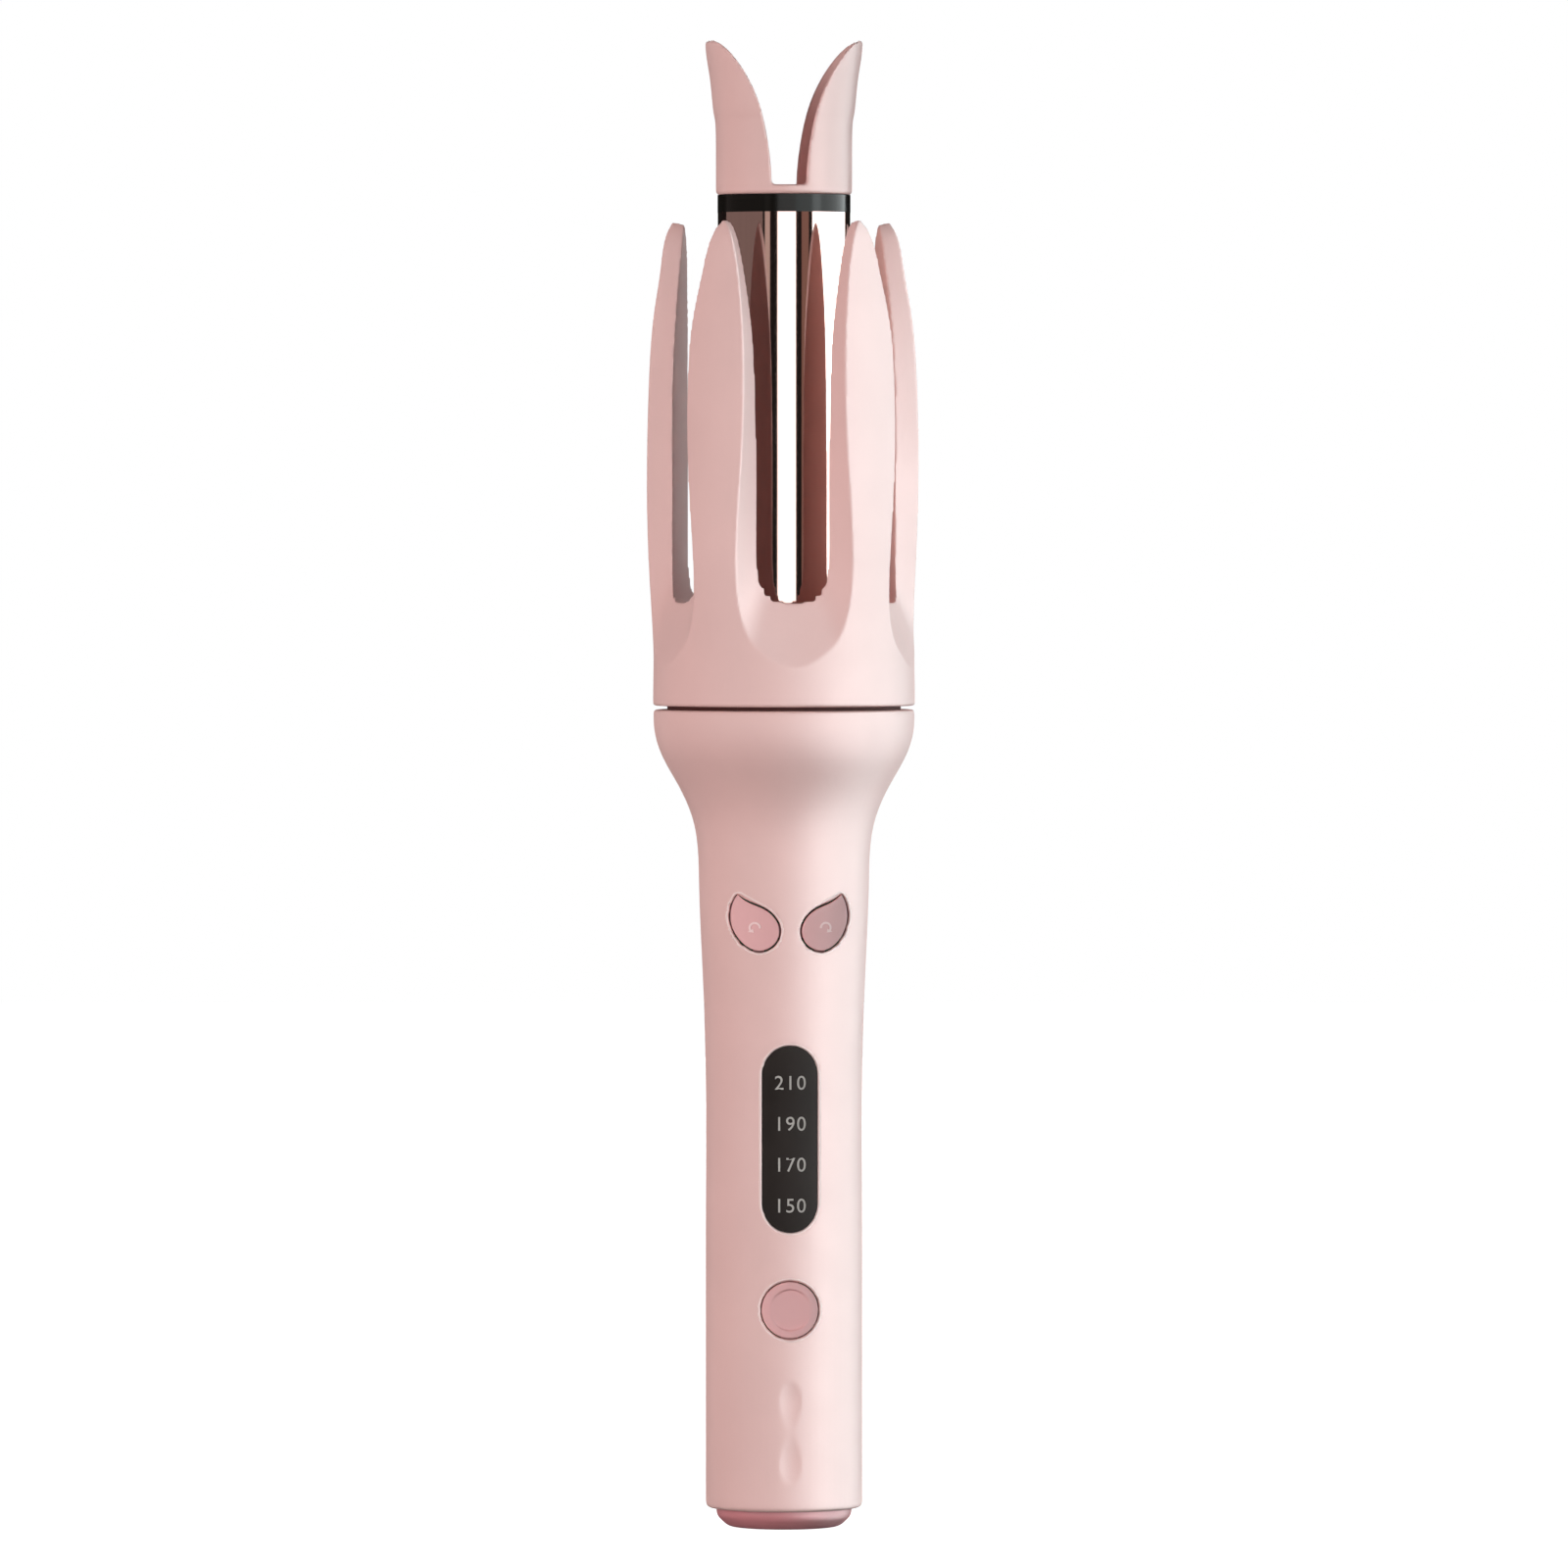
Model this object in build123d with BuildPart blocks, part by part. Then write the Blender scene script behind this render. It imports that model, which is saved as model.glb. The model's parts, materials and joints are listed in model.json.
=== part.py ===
from build123d import *
import os
from math import acos, cos, hypot, pi, radians, sin, sqrt, tan

# Automatic hair curler, millimetres.  Z runs up the barrel from the flat bottom of the end cap,
# the controls face -Y and the two guide ears stand at +X and -X.

# ---------------------------------------------------------------- driving dimensions
BARREL_R = 14.0            # 28 mm heated barrel
BARREL_WALL = 0.8
HANDLE_R = 16.6            # straight part of the grip
SHELL_WALL = 1.8
END_CAP_R = 14.3
HANDLE_BOTTOM_Z = 4.0
STRAIGHT_TOP_Z = 60.0      # the grip widens above this height
SEAM_Z = 173.0             # top face of the handle shells
SEAM_GAP = 0.8
HEAD_R = 27.6
CROWN_TOP_Z = 276.7
CROWN_INNER_R = 23.5       # inside face of the petals
CROWN_SKIRT_R = 25.4       # inside face of the skirt, round the head chassis
CROWN_STEP = (23.9, 183.4) # the skirt narrows here to hold the ring gear
CROWN_FLOOR_Z = 189.0
CROWN_DECK_Z = 195.2       # deck between the petals and the barrel
WELL_R = 14.9              # well in the deck round the foot of the barrel
PETALS = 5
PETAL_STRAIGHT_Z = 232.0   # the petals lean inwards above this height
PETAL_LIP_Z = 275.2        # the rounded top edge of the petals starts here
CROWN_FOOT = (27.7, 175.0, 174.3)    # radius of the crown's lower edge, and its two heights
BARREL_BOTTOM_Z = 193.4
BARREL_TOP_Z = 278.0
BAND_TOP_Z = 281.7
EAR_BASE_Z = 283.7
EAR_TOP_Z = 314.4
EAR_CAP_R = 14.4

WINDOW_Z = 82.7            # display window, a pill on the front of the grip
WINDOW_W = 11.6
WINDOW_L = 39.4
POWER_Z = 46.7
POWER_R = 6.15             # hole for the power button
POWER_DISH_R = 4.35
POWER_PROUD = 0.15         # the power button stands this far out of the grip
POWER_CROWN_Y = -1.0       # centre line of the power button's face, which is rounder than the grip
LEAF_Z = 128.0
LEAF_X = 7.3               # switch centre behind each leaf button
LEAF_SKIN_Z = (121.0, 135.5)
LEAF_SKIN = ((16.1, 17.4), (16.4, 18.2))   # inner and outer radius at the two heights
LUG_THICK = 0.7            # lugs that keep a leaf button behind the shell
INNER_LUG_Y = 13.7         # lug on the inner side of the leaf, and the lug below it
LOWER_LUG_Y = 12.3
BUTTON_GAP = 0.2           # each side of a button outline
BUTTON_TRAVEL = 0.5

DIMPLE_AXIS_Y = -26.3      # the grip dimples are cut by a spindle turned about this line
DIMPLE_PROFILE = [(9.55, 32.6), (9.95, 30.4), (10.15, 27.5), (9.95, 24.2), (9.75, 20.9), (9.95, 17.6),
                  (10.15, 14.0), (9.95, 11.2), (9.55, 9.0)]    # spindle radius and height

BOARD_FRONT_Y = -7.8
FRAME_FRONT_Y = -6.2
FRAME_BACK_Y = -5.0
FRAME_HALF_W = 12.0
FRAME_BOTTOM_Z = 20.4
FRAME_TOP_Z = 155.8
CELL_R = 9.2
CELL_LENGTH = 65.0
CELL_Y = 4.4
CELL_BOTTOM_Z = 22.6
CELL_GAP = 0.8

MOTOR_X = 16.0             # motor axis, beside the spindle
MOUNT_PLATE_Z = 181.0      # underside of the chassis plate
MOUNT_PLATE = 2.0
SPINDLE_R = 10.0
SPINDLE_BORE_R = 7.5
SPINDLE_TOP_Z = 192.0
SHOULDER_R = 10.35
SHOULDER_Z = 187.4

MODULE = 0.8
PINION_TEETH = 12
RING_TEETH = 52
GEAR_BACKLASH = 0.24
GEAR_BOTTOM_Z = 183.6
PINION_TOP_Z = 187.0
RING_WEB_Z = 187.6

LOWER_SCREW_Z = 16.2       # the two screws that close the handle shells
UPPER_SCREW_Z = 158.6
FRAME_SCREW_X = 10.3
FRAME_SCREW_Z = (27.0, 150.0)
BOARD_SCREW_X = 9.0
BOARD_SCREW_Z = (38.0, 141.0)

SHELL_BOSS_R = 2.6
FRAME_BOSS_R = 2.0
FRAME_PILOT_R = 0.8
SHELL_SCREW_R = 1.1
SCREW_HEAD = 1.4
COUNTERBORE_R = 2.3
SHELL_SCREW_SEATS = ((12.0, LOWER_SCREW_Z), (17.5, UPPER_SCREW_Z))   # seat y, height

PORT_W = 8.94              # USB-C receptacle shell
PORT_H = 3.26

BULKHEAD = 1.6
RAIL_X = 10.4
RAIL_Z = (32.0, 145.0)
STRIP = 0.4                # nickel strip thickness
STRIP_Z = (22.3, 153.75)   # heights of the strips at the two free cell ends
BOARD_Z = (32.0, 146.0)
BOARD_SCREWS = [(s * BOARD_SCREW_X, z) for s in (-1, 1) for z in BOARD_SCREW_Z]
DIGIT_ROWS = (68.5, 77.2, 85.8, 94.4)
LENS_BACK_Y = 5.6          # depth of the display frame in front of the board

SWITCH_W = 6.0
SWITCH_H = 3.5
PLUNGER_R = 1.75
STEM_R = 2.2               # stem behind each button
PLUNGER_TIP = 12.8         # distance of a plunger's tip in front of the axis
SWITCHES = {"reverse": (-LEAF_X, LEAF_Z), "forward": (LEAF_X, LEAF_Z), "power": (0, POWER_Z)}

DRUM_R = 24.7              # outside of the chassis drum
DRUM_INNER_R = 23.3
MOUNT_TOP_Z = MOUNT_PLATE_Z + MOUNT_PLATE
MOTOR_SCREW_Y = 4.4
GEARBOX = 9.0
MOTOR_CAN = 12.0
MOTOR_BACK_Z = MOUNT_PLATE_Z - GEARBOX - MOTOR_CAN
SHAFT_R = 1.5
SHAFT_TOP_Z = 187.3
BARREL_SCREW_R = 8.75
RING_GEAR_R = 23.8
RING_SCREW_R = 17.0
BUSH_R = 12.5

CROWN_POCKET = (19.2, 22.4, 193.2)   # hollow under the deck: inner and outer radius, top
BARREL_PLUG_R = 13.15      # pieces that fit inside the barrel
BASE_FLOOR_Z = SPINDLE_TOP_Z + 3
HEATER_Z = (206.0, 268.0)
HEATER_HALF = 0.9          # half thickness of the heater plate
CORE_HALF = HEATER_HALF + 1.4   # heater plate and the flat of one spreader
THERMISTOR_Z = 236.0
FUSE_Z = 222.0
FUSE_LENGTH = 9.0
TIP_BORE_R = 11.6
TIP_PLUG_Z = 272.0         # the tip insulator reaches this far down inside the barrel
EAR_SPIGOT_Z = 275.0       # foot of the ear cap's spigot
EAR_STRAIGHT_Z = 291.0     # the ears spread outwards above this height
# half-width of the channel between the ears, and height
EAR_CHANNEL = [(3.7, EAR_BASE_Z), (4.3, 291.6), (5.5, 298), (8.0, 305), (11.0, 310), (13.8, 313.2),
               (17.2, 315.2)]

os.makedirs("parts", exist_ok=True)


def save(builder, label):
    """Label one finished piece and write its STEP file."""
    builder.part.label = label
    export_step(builder.part, f"parts/{label}.step")


# ---------------------------------------------------------------- shared outlines
# Both lists are (radius, height) on the flare between the grip and the head.
FLARE_OUTSIDE = [(17.0, 112), (18.0, 136.5), (19.1, 149), (22.4, 157), (25.9, 163.4)]
FLARE_INSIDE = [(15.1, 112), (16.0, 137), (17.2, 150.5), (20.2, 157.6), (23.0, 163.0)]
FLARE_TOP_Z = 171.0
INNER_TOP = (24.2, 166.0)
GRIP_INNER_R = HANDLE_R - SHELL_WALL
UP = (0, 1)
SEAM_LIP = 0.5
BOSS_ROOT = 0.9                        # how far a boss reaches into the wall
BOSS_END_R = GRIP_INNER_R + BOSS_ROOT
CAP_GROOVE = (7.0, 8.2, 0.4)           # bottom, top and depth of the groove for the end cap
DRUM_GROOVE = (167.0, 168.6)           # bottom and top of the groove for the chassis rim
DRUM_GROOVE_R = 25.7
DRUM_SEAT_R = 25.0                     # bore of the shells round the chassis drum
FRONT = Axis((0, 0, 0), (0, 0, -1))    # turning this way from +X sweeps the front half
IN_FRONT = Plane.XZ.offset(5)          # y = -5, looking along -Y

# section through one side of the handle wall
with BuildSketch(Plane.XZ) as wall_section:
    with BuildLine():
        Spline((HANDLE_R, STRAIGHT_TOP_Z), *FLARE_OUTSIDE, (HEAD_R, FLARE_TOP_Z), tangents=(UP, UP))
        Line((HANDLE_R, STRAIGHT_TOP_Z), (HANDLE_R, HANDLE_BOTTOM_Z + 1))
        RadiusArc((HANDLE_R, HANDLE_BOTTOM_Z + 1), (HANDLE_R - 1, HANDLE_BOTTOM_Z), 1)
        Polyline((HANDLE_R - 1, HANDLE_BOTTOM_Z), (GRIP_INNER_R, HANDLE_BOTTOM_Z),
                 (GRIP_INNER_R, CAP_GROOVE[0]), (GRIP_INNER_R + CAP_GROOVE[2], CAP_GROOVE[0]),
                 (GRIP_INNER_R + CAP_GROOVE[2], CAP_GROOVE[1]), (GRIP_INNER_R, CAP_GROOVE[1]),
                 (GRIP_INNER_R, STRAIGHT_TOP_Z))
        Spline((GRIP_INNER_R, STRAIGHT_TOP_Z), *FLARE_INSIDE, INNER_TOP, tangents=(UP, UP))
        Polyline(INNER_TOP, (INNER_TOP[0], DRUM_GROOVE[0]), (DRUM_GROOVE_R, DRUM_GROOVE[0]),
                 (DRUM_GROOVE_R, DRUM_GROOVE[1]), (DRUM_SEAT_R, DRUM_GROOVE[1]),
                 (DRUM_SEAT_R, SEAM_Z), (HEAD_R - SEAM_LIP, SEAM_Z))
        RadiusArc((HEAD_R - SEAM_LIP, SEAM_Z), (HEAD_R, SEAM_Z - SEAM_LIP), SEAM_LIP)
        Line((HEAD_R, SEAM_Z - SEAM_LIP), (HEAD_R, FLARE_TOP_Z))
    make_face()

# everything inside the outer surface of the handle, used to trim buttons and plugs
with BuildSketch(Plane.XZ) as handle_envelope:
    with BuildLine():
        Spline((HANDLE_R, STRAIGHT_TOP_Z), *FLARE_OUTSIDE, (HEAD_R, FLARE_TOP_Z), tangents=(UP, UP))
        Polyline((HANDLE_R, STRAIGHT_TOP_Z), (HANDLE_R, HANDLE_BOTTOM_Z), (0, HANDLE_BOTTOM_Z),
                 (0, SEAM_Z), (HEAD_R, SEAM_Z), (HEAD_R, FLARE_TOP_Z))
    make_face()

# the cavity of the handle grown into the wall, so that bosses end inside the wall
with BuildSketch(Plane.XZ) as boss_envelope:
    with BuildLine():
        Spline((BOSS_END_R, STRAIGHT_TOP_Z), *[(r + BOSS_ROOT, z) for r, z in FLARE_INSIDE],
               (INNER_TOP[0] + BOSS_ROOT, INNER_TOP[1]), tangents=(UP, UP))
        Polyline((INNER_TOP[0] + BOSS_ROOT, INNER_TOP[1]), (0, INNER_TOP[1]), (0, CAP_GROOVE[1]),
                 (BOSS_END_R, CAP_GROOVE[1]), (BOSS_END_R, STRAIGHT_TOP_Z))
    make_face()


def leaf(side, grow):
    """Leaf-shaped button outline on the front, side -1 or +1, grown or shrunk by an offset."""
    points = [(11.0, 134.4), (12.5, 130.2), (11.5, 125.8), (6.4, 122.2), (3.2, 123.8),
              (2.2, 126.8), (4.9, 131.0), (8.2, 132.5), (11.0, 134.4)]
    outline_points = []
    for x, z in points:
        reach = hypot(x - LEAF_X, z - LEAF_Z)
        share = 1 + grow / reach
        outline_points.append((side * (LEAF_X + share * (x - LEAF_X)), LEAF_Z + share * (z - LEAF_Z)))
    with BuildSketch(IN_FRONT) as outline:
        with BuildLine():
            Spline(*outline_points)
        make_face()
    return outline.sketch


# ---------------------------------------------------------------- handle shells
with BuildPart() as handle_front_shell:
    with BuildSketch(Plane.XZ):
        with Locations((0, LOWER_SCREW_Z), (0, UPPER_SCREW_Z)):
            Circle(SHELL_BOSS_R)
    extrude(amount=30)
    with BuildSketch(Plane.XZ.offset(-FRAME_FRONT_Y)):
        with Locations(*[(s * FRAME_SCREW_X, z) for s in (-1, 1) for z in FRAME_SCREW_Z]):
            Circle(FRAME_BOSS_R)
    extrude(amount=20)
    revolve(boss_envelope.sketch, axis=Axis.Z, mode=Mode.INTERSECT)
    revolve(wall_section.sketch, axis=FRONT, revolution_arc=180)
    with BuildSketch(IN_FRONT):
        with Locations((0, WINDOW_Z)):
            SlotOverall(WINDOW_L, WINDOW_W, rotation=90)
        with Locations((0, POWER_Z)):
            Circle(POWER_R)
    extrude(amount=20, mode=Mode.SUBTRACT)
    for side in (-1, 1):
        extrude(leaf(side, BUTTON_GAP), amount=20, mode=Mode.SUBTRACT)
    with BuildSketch(Plane.XZ):
        with Locations((0, LOWER_SCREW_Z), (0, UPPER_SCREW_Z)):
            Circle(SHELL_SCREW_R)
    extrude(amount=9, mode=Mode.SUBTRACT)
    with BuildSketch(Plane.XZ.offset(-FRAME_FRONT_Y)):
        with Locations(*[(s * FRAME_SCREW_X, z) for s in (-1, 1) for z in FRAME_SCREW_Z]):
            Circle(FRAME_PILOT_R)
    extrude(amount=3.4, mode=Mode.SUBTRACT)
    # two shallow spindle-shaped grip dimples below the power button
    with BuildSketch(Plane.YZ):
        with BuildLine():
            Spline(*[(DIMPLE_AXIS_Y + r, z) for r, z in DIMPLE_PROFILE])
            Polyline((DIMPLE_AXIS_Y + DIMPLE_PROFILE[-1][0], DIMPLE_PROFILE[-1][1]),
                     (DIMPLE_AXIS_Y, DIMPLE_PROFILE[-1][1]), (DIMPLE_AXIS_Y, DIMPLE_PROFILE[0][1]),
                     (DIMPLE_AXIS_Y + DIMPLE_PROFILE[0][0], DIMPLE_PROFILE[0][1]))
        make_face()
    revolve(axis=Axis((0, DIMPLE_AXIS_Y, 0), (0, 0, 1)), mode=Mode.SUBTRACT)
save(handle_front_shell, "handle_front_shell")

with BuildPart() as handle_rear_shell:
    with BuildSketch(Plane.XZ):
        with Locations((0, LOWER_SCREW_Z), (0, UPPER_SCREW_Z)):
            Circle(SHELL_BOSS_R)
    extrude(amount=-30)
    revolve(boss_envelope.sketch, axis=Axis.Z, mode=Mode.INTERSECT)
    revolve(wall_section.sketch, axis=Axis.Z, revolution_arc=180)
    with BuildSketch(Plane.XZ):
        with Locations((0, LOWER_SCREW_Z), (0, UPPER_SCREW_Z)):
            Circle(SHELL_SCREW_R + 0.15)
    extrude(amount=-30, mode=Mode.SUBTRACT)
    for seat_y, z in SHELL_SCREW_SEATS:
        with BuildSketch(Plane.XZ.offset(-seat_y)):
            with Locations((0, z)):
                Circle(COUNTERBORE_R)
        extrude(amount=-20, mode=Mode.SUBTRACT)
save(handle_rear_shell, "handle_rear_shell")

# screws that close the shells, heads down in the counterbores of the rear shell
with BuildPart() as shell_screws:
    for seat_y, z in SHELL_SCREW_SEATS:
        with BuildSketch(Plane.XZ.offset(-seat_y)):
            with Locations((0, z)):
                Circle(1.9)
        extrude(amount=-SCREW_HEAD)
        with BuildSketch(Plane.XZ.offset(-seat_y)):
            with Locations((0, z)):
                Circle(SHELL_SCREW_R)
        extrude(amount=seat_y + 7)
        with BuildSketch(Plane.XZ.offset(-seat_y - SCREW_HEAD)):
            with Locations((0, z)):
                Rectangle(2.4, 0.6)
                Rectangle(0.6, 2.4)
        extrude(amount=0.7, mode=Mode.SUBTRACT)
save(shell_screws, "shell_screws")

# soft plugs that hide the two screw heads, flush with the rear shell
with BuildPart() as screw_plugs:
    for seat_y, z in SHELL_SCREW_SEATS:
        with BuildSketch(Plane.XZ.offset(-seat_y - SCREW_HEAD - 0.2)):
            with Locations((0, z)):
                Circle(COUNTERBORE_R - 0.05)
        extrude(amount=-15)
    revolve(handle_envelope.sketch, axis=Axis.Z, mode=Mode.INTERSECT)
save(screw_plugs, "screw_plugs")

# ---------------------------------------------------------------- bottom of the grip
with BuildPart() as end_cap:
    with BuildSketch(Plane.XZ):
        with BuildLine():
            Line((0, 0), (10.6, 0))
            Spline((10.6, 0), (13.2, 1.3), (END_CAP_R, 3.4), tangents=((1, 0), UP))
            Polyline((END_CAP_R, 3.4), (END_CAP_R, 4.6), (14.7, 4.6), (14.7, 7.1), (15.1, 7.1),
                     (15.1, 8.1), (14.7, 8.1), (14.7, 10.0), (13.2, 10.0), (13.2, 1.9), (0, 1.9),
                     (0, 0))
        make_face()
    revolve(axis=Axis.Z)
    with BuildSketch(Plane.XY):
        SlotOverall(PORT_W + 0.3, PORT_H + 0.3)
    extrude(amount=4, mode=Mode.SUBTRACT)
save(end_cap, "end_cap")

with BuildPart() as usb_port:
    with BuildSketch(Plane.XY.offset(0.5)):
        SlotOverall(PORT_W, PORT_H)
        SlotOverall(PORT_W - 0.6, PORT_H - 0.6, mode=Mode.SUBTRACT)
    extrude(amount=7.3)
    with BuildSketch(Plane.XY.offset(7.2)):
        SlotOverall(PORT_W - 0.4, PORT_H - 0.4)
    extrude(amount=0.6)
    with BuildSketch(Plane.XY.offset(1.2)):
        Rectangle(6.2, 0.7)
    extrude(amount=6.2)
save(usb_port, "usb_port")

with BuildPart() as charge_board:
    with BuildSketch(Plane.XY.offset(2.3)):
        with Locations((0, PORT_H / 2 + 0.5)):
            Rectangle(17, 1.0)
    extrude(amount=10.2)
    with BuildSketch(Plane.XZ.offset(-PORT_H / 2 - 1.0)):
        with Locations((-5.5, 6), (5.5, 7), (4, 10.6)):
            Rectangle(2.4, 1.8)
        with Locations((-4.2, 10.2)):
            Rectangle(3.4, 3.4)
    extrude(amount=-1.0)
save(charge_board, "charge_board")

# ---------------------------------------------------------------- inner frame and cells
with BuildPart() as inner_frame:
    with BuildSketch(Plane.XZ.offset(-FRAME_FRONT_Y)):
        with Locations((0, FRAME_BOTTOM_Z)):
            Rectangle(2 * FRAME_HALF_W, FRAME_TOP_Z - FRAME_BOTTOM_Z, align=(Align.CENTER, Align.MIN))
    extrude(amount=FRAME_FRONT_Y - FRAME_BACK_Y)
    for z in (FRAME_BOTTOM_Z, FRAME_TOP_Z - BULKHEAD):
        with BuildSketch(Plane.XY.offset(z)):
            Circle(GRIP_INNER_R - 0.8)
            with Locations((0, FRAME_BACK_Y - 0.1)):
                Rectangle(40, 20, align=(Align.CENTER, Align.MAX), mode=Mode.SUBTRACT)
        extrude(amount=BULKHEAD)
    # rails beside the cells
    with BuildSketch(Plane.XY.offset(RAIL_Z[0])):
        with Locations((RAIL_X, FRAME_BACK_Y - 0.5), (-RAIL_X, FRAME_BACK_Y - 0.5)):
            Rectangle(1.6, 9.5, align=(Align.CENTER, Align.MIN))
    extrude(amount=RAIL_Z[1] - RAIL_Z[0])
    # slots for the contact strips, and screw holes
    with BuildSketch(Plane.XZ):
        for z in STRIP_Z:
            with Locations((0, z)):
                Rectangle(6.6, 1.0)
        with Locations(*[(s * FRAME_SCREW_X, z) for s in (-1, 1) for z in FRAME_SCREW_Z]):
            Circle(1.05)
        with Locations(*BOARD_SCREWS):
            Circle(0.75)
    extrude(amount=10, mode=Mode.SUBTRACT)
save(inner_frame, "inner_frame")

with BuildPart() as frame_screws:
    with BuildSketch(Plane.XZ.offset(-FRAME_BACK_Y)):
        with Locations(*[(s * FRAME_SCREW_X, z) for s in (-1, 1) for z in FRAME_SCREW_Z]):
            Circle(1.6)
    extrude(amount=-1.1)
    with BuildSketch(Plane.XZ.offset(-FRAME_BACK_Y)):
        with Locations(*[(s * FRAME_SCREW_X, z) for s in (-1, 1) for z in FRAME_SCREW_Z]):
            Circle(FRAME_PILOT_R)
    extrude(amount=4.4)
save(frame_screws, "frame_screws")

cell_bottoms = (CELL_BOTTOM_Z, CELL_BOTTOM_Z + CELL_LENGTH + CELL_GAP)
for name, bottom in zip(("battery_cell_lower", "battery_cell_upper"), cell_bottoms):
    with BuildPart() as battery_cell:
        with BuildSketch(Plane.XY.offset(bottom)):
            with Locations((0, CELL_Y)):
                Circle(CELL_R)
        extrude(amount=CELL_LENGTH)
        fillet(battery_cell.edges().filter_by(GeomType.CIRCLE), radius=0.6)
    save(battery_cell, name)

# nickel strips: one between the cells, one from each free end to the main board
with BuildPart() as battery_strips:
    with BuildSketch(Plane.XY.offset(CELL_BOTTOM_Z + CELL_LENGTH)):
        with Locations((0, CELL_Y)):
            Rectangle(6, 12)
    extrude(amount=CELL_GAP)
    for z, thick, leg_z in ((STRIP_Z[0], STRIP, BOARD_Z[0] + 3), (STRIP_Z[1], STRIP, BOARD_Z[1] - 3)):
        with BuildSketch(Plane.XY.offset(z - thick / 2)):
            with Locations((0, CELL_Y + 4)):
                Rectangle(6, CELL_Y + 4 - BOARD_FRONT_Y + thick, align=(Align.CENTER, Align.MAX))
        extrude(amount=thick)
        with BuildSketch(Plane.XZ.offset(-BOARD_FRONT_Y)):
            with Locations((0, (z + leg_z) / 2)):
                Rectangle(6, abs(leg_z - z) + thick)
        extrude(amount=thick)
save(battery_strips, "battery_strips")

# ---------------------------------------------------------------- electronics
with BuildPart() as main_board:
    with BuildSketch(Plane.XZ.offset(-FRAME_FRONT_Y)):
        with Locations((0, BOARD_Z[0])):
            Rectangle(22.4, BOARD_Z[1] - BOARD_Z[0], align=(Align.CENTER, Align.MIN))
        with Locations(*BOARD_SCREWS):
            Circle(1.1, mode=Mode.SUBTRACT)
    extrude(amount=FRAME_FRONT_Y - BOARD_FRONT_Y)
    # controller, motor driver, boost coil and connectors
    with BuildSketch(Plane.XZ.offset(-BOARD_FRONT_Y)):
        with Locations((0, 113)):
            Rectangle(7, 7)
        with Locations((-6, 56), (6, 56)):
            Rectangle(4, 5)
        with Locations((0, 56)):
            Circle(3.2)
        with Locations((-7.5, 108), (7.5, 108), (-7.5, 116), (7.5, 116)):
            Rectangle(2, 1.2)
    extrude(amount=1.6)
save(main_board, "main_board")

with BuildPart() as board_screws:
    with BuildSketch(Plane.XZ.offset(-BOARD_FRONT_Y)):
        with Locations(*BOARD_SCREWS):
            Circle(1.7)
    extrude(amount=1.2)
    with BuildSketch(Plane.XZ.offset(-BOARD_FRONT_Y)):
        with Locations(*BOARD_SCREWS):
            Circle(0.75)
    extrude(amount=-2.6)
save(board_screws, "board_screws")

with BuildPart() as tact_switches:
    with BuildSketch(Plane.XZ.offset(-BOARD_FRONT_Y)):
        with Locations(*SWITCHES.values()):
            Rectangle(SWITCH_W, SWITCH_W)
    extrude(amount=SWITCH_H)
    with BuildSketch(Plane.XZ.offset(-BOARD_FRONT_Y + SWITCH_H)):
        with Locations(*SWITCHES.values()):
            Circle(PLUNGER_R + 0.06)
    extrude(amount=-1.8, mode=Mode.SUBTRACT)
save(tact_switches, "tact_switches")

with BuildPart() as display_frame:
    with BuildSketch(Plane.XZ.offset(-BOARD_FRONT_Y)):
        with Locations((0, WINDOW_Z)):
            Rectangle(9.6, WINDOW_L - 2)
    extrude(amount=LENS_BACK_Y - 0.2)
    with BuildSketch(Plane.XZ.offset(-BOARD_FRONT_Y)):
        with Locations(*[(0, z) for z in DIGIT_ROWS]):
            Rectangle(7.4, 5.4)
    extrude(amount=10, mode=Mode.SUBTRACT)
save(display_frame, "display_frame")

with BuildPart() as display_leds:
    with BuildSketch(Plane.XZ.offset(-BOARD_FRONT_Y)):
        with Locations(*[(x, z) for x in (-1.8, 1.8) for z in DIGIT_ROWS]):
            Rectangle(1.6, 2.4)
    extrude(amount=0.8)
save(display_leds, "display_leds")

with BuildPart() as display_window:
    with BuildSketch(Plane.XY.offset(WINDOW_Z - WINDOW_L / 2)):
        Circle(HANDLE_R - 0.25)
        Circle(GRIP_INNER_R - 0.1, mode=Mode.SUBTRACT)
    extrude(amount=WINDOW_L)
    with BuildSketch(IN_FRONT):
        with Locations((0, WINDOW_Z)):
            SlotOverall(WINDOW_L - 0.1, WINDOW_W - 0.1, rotation=90)
    extrude(amount=20, mode=Mode.INTERSECT)
save(display_window, "display_window")

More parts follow.
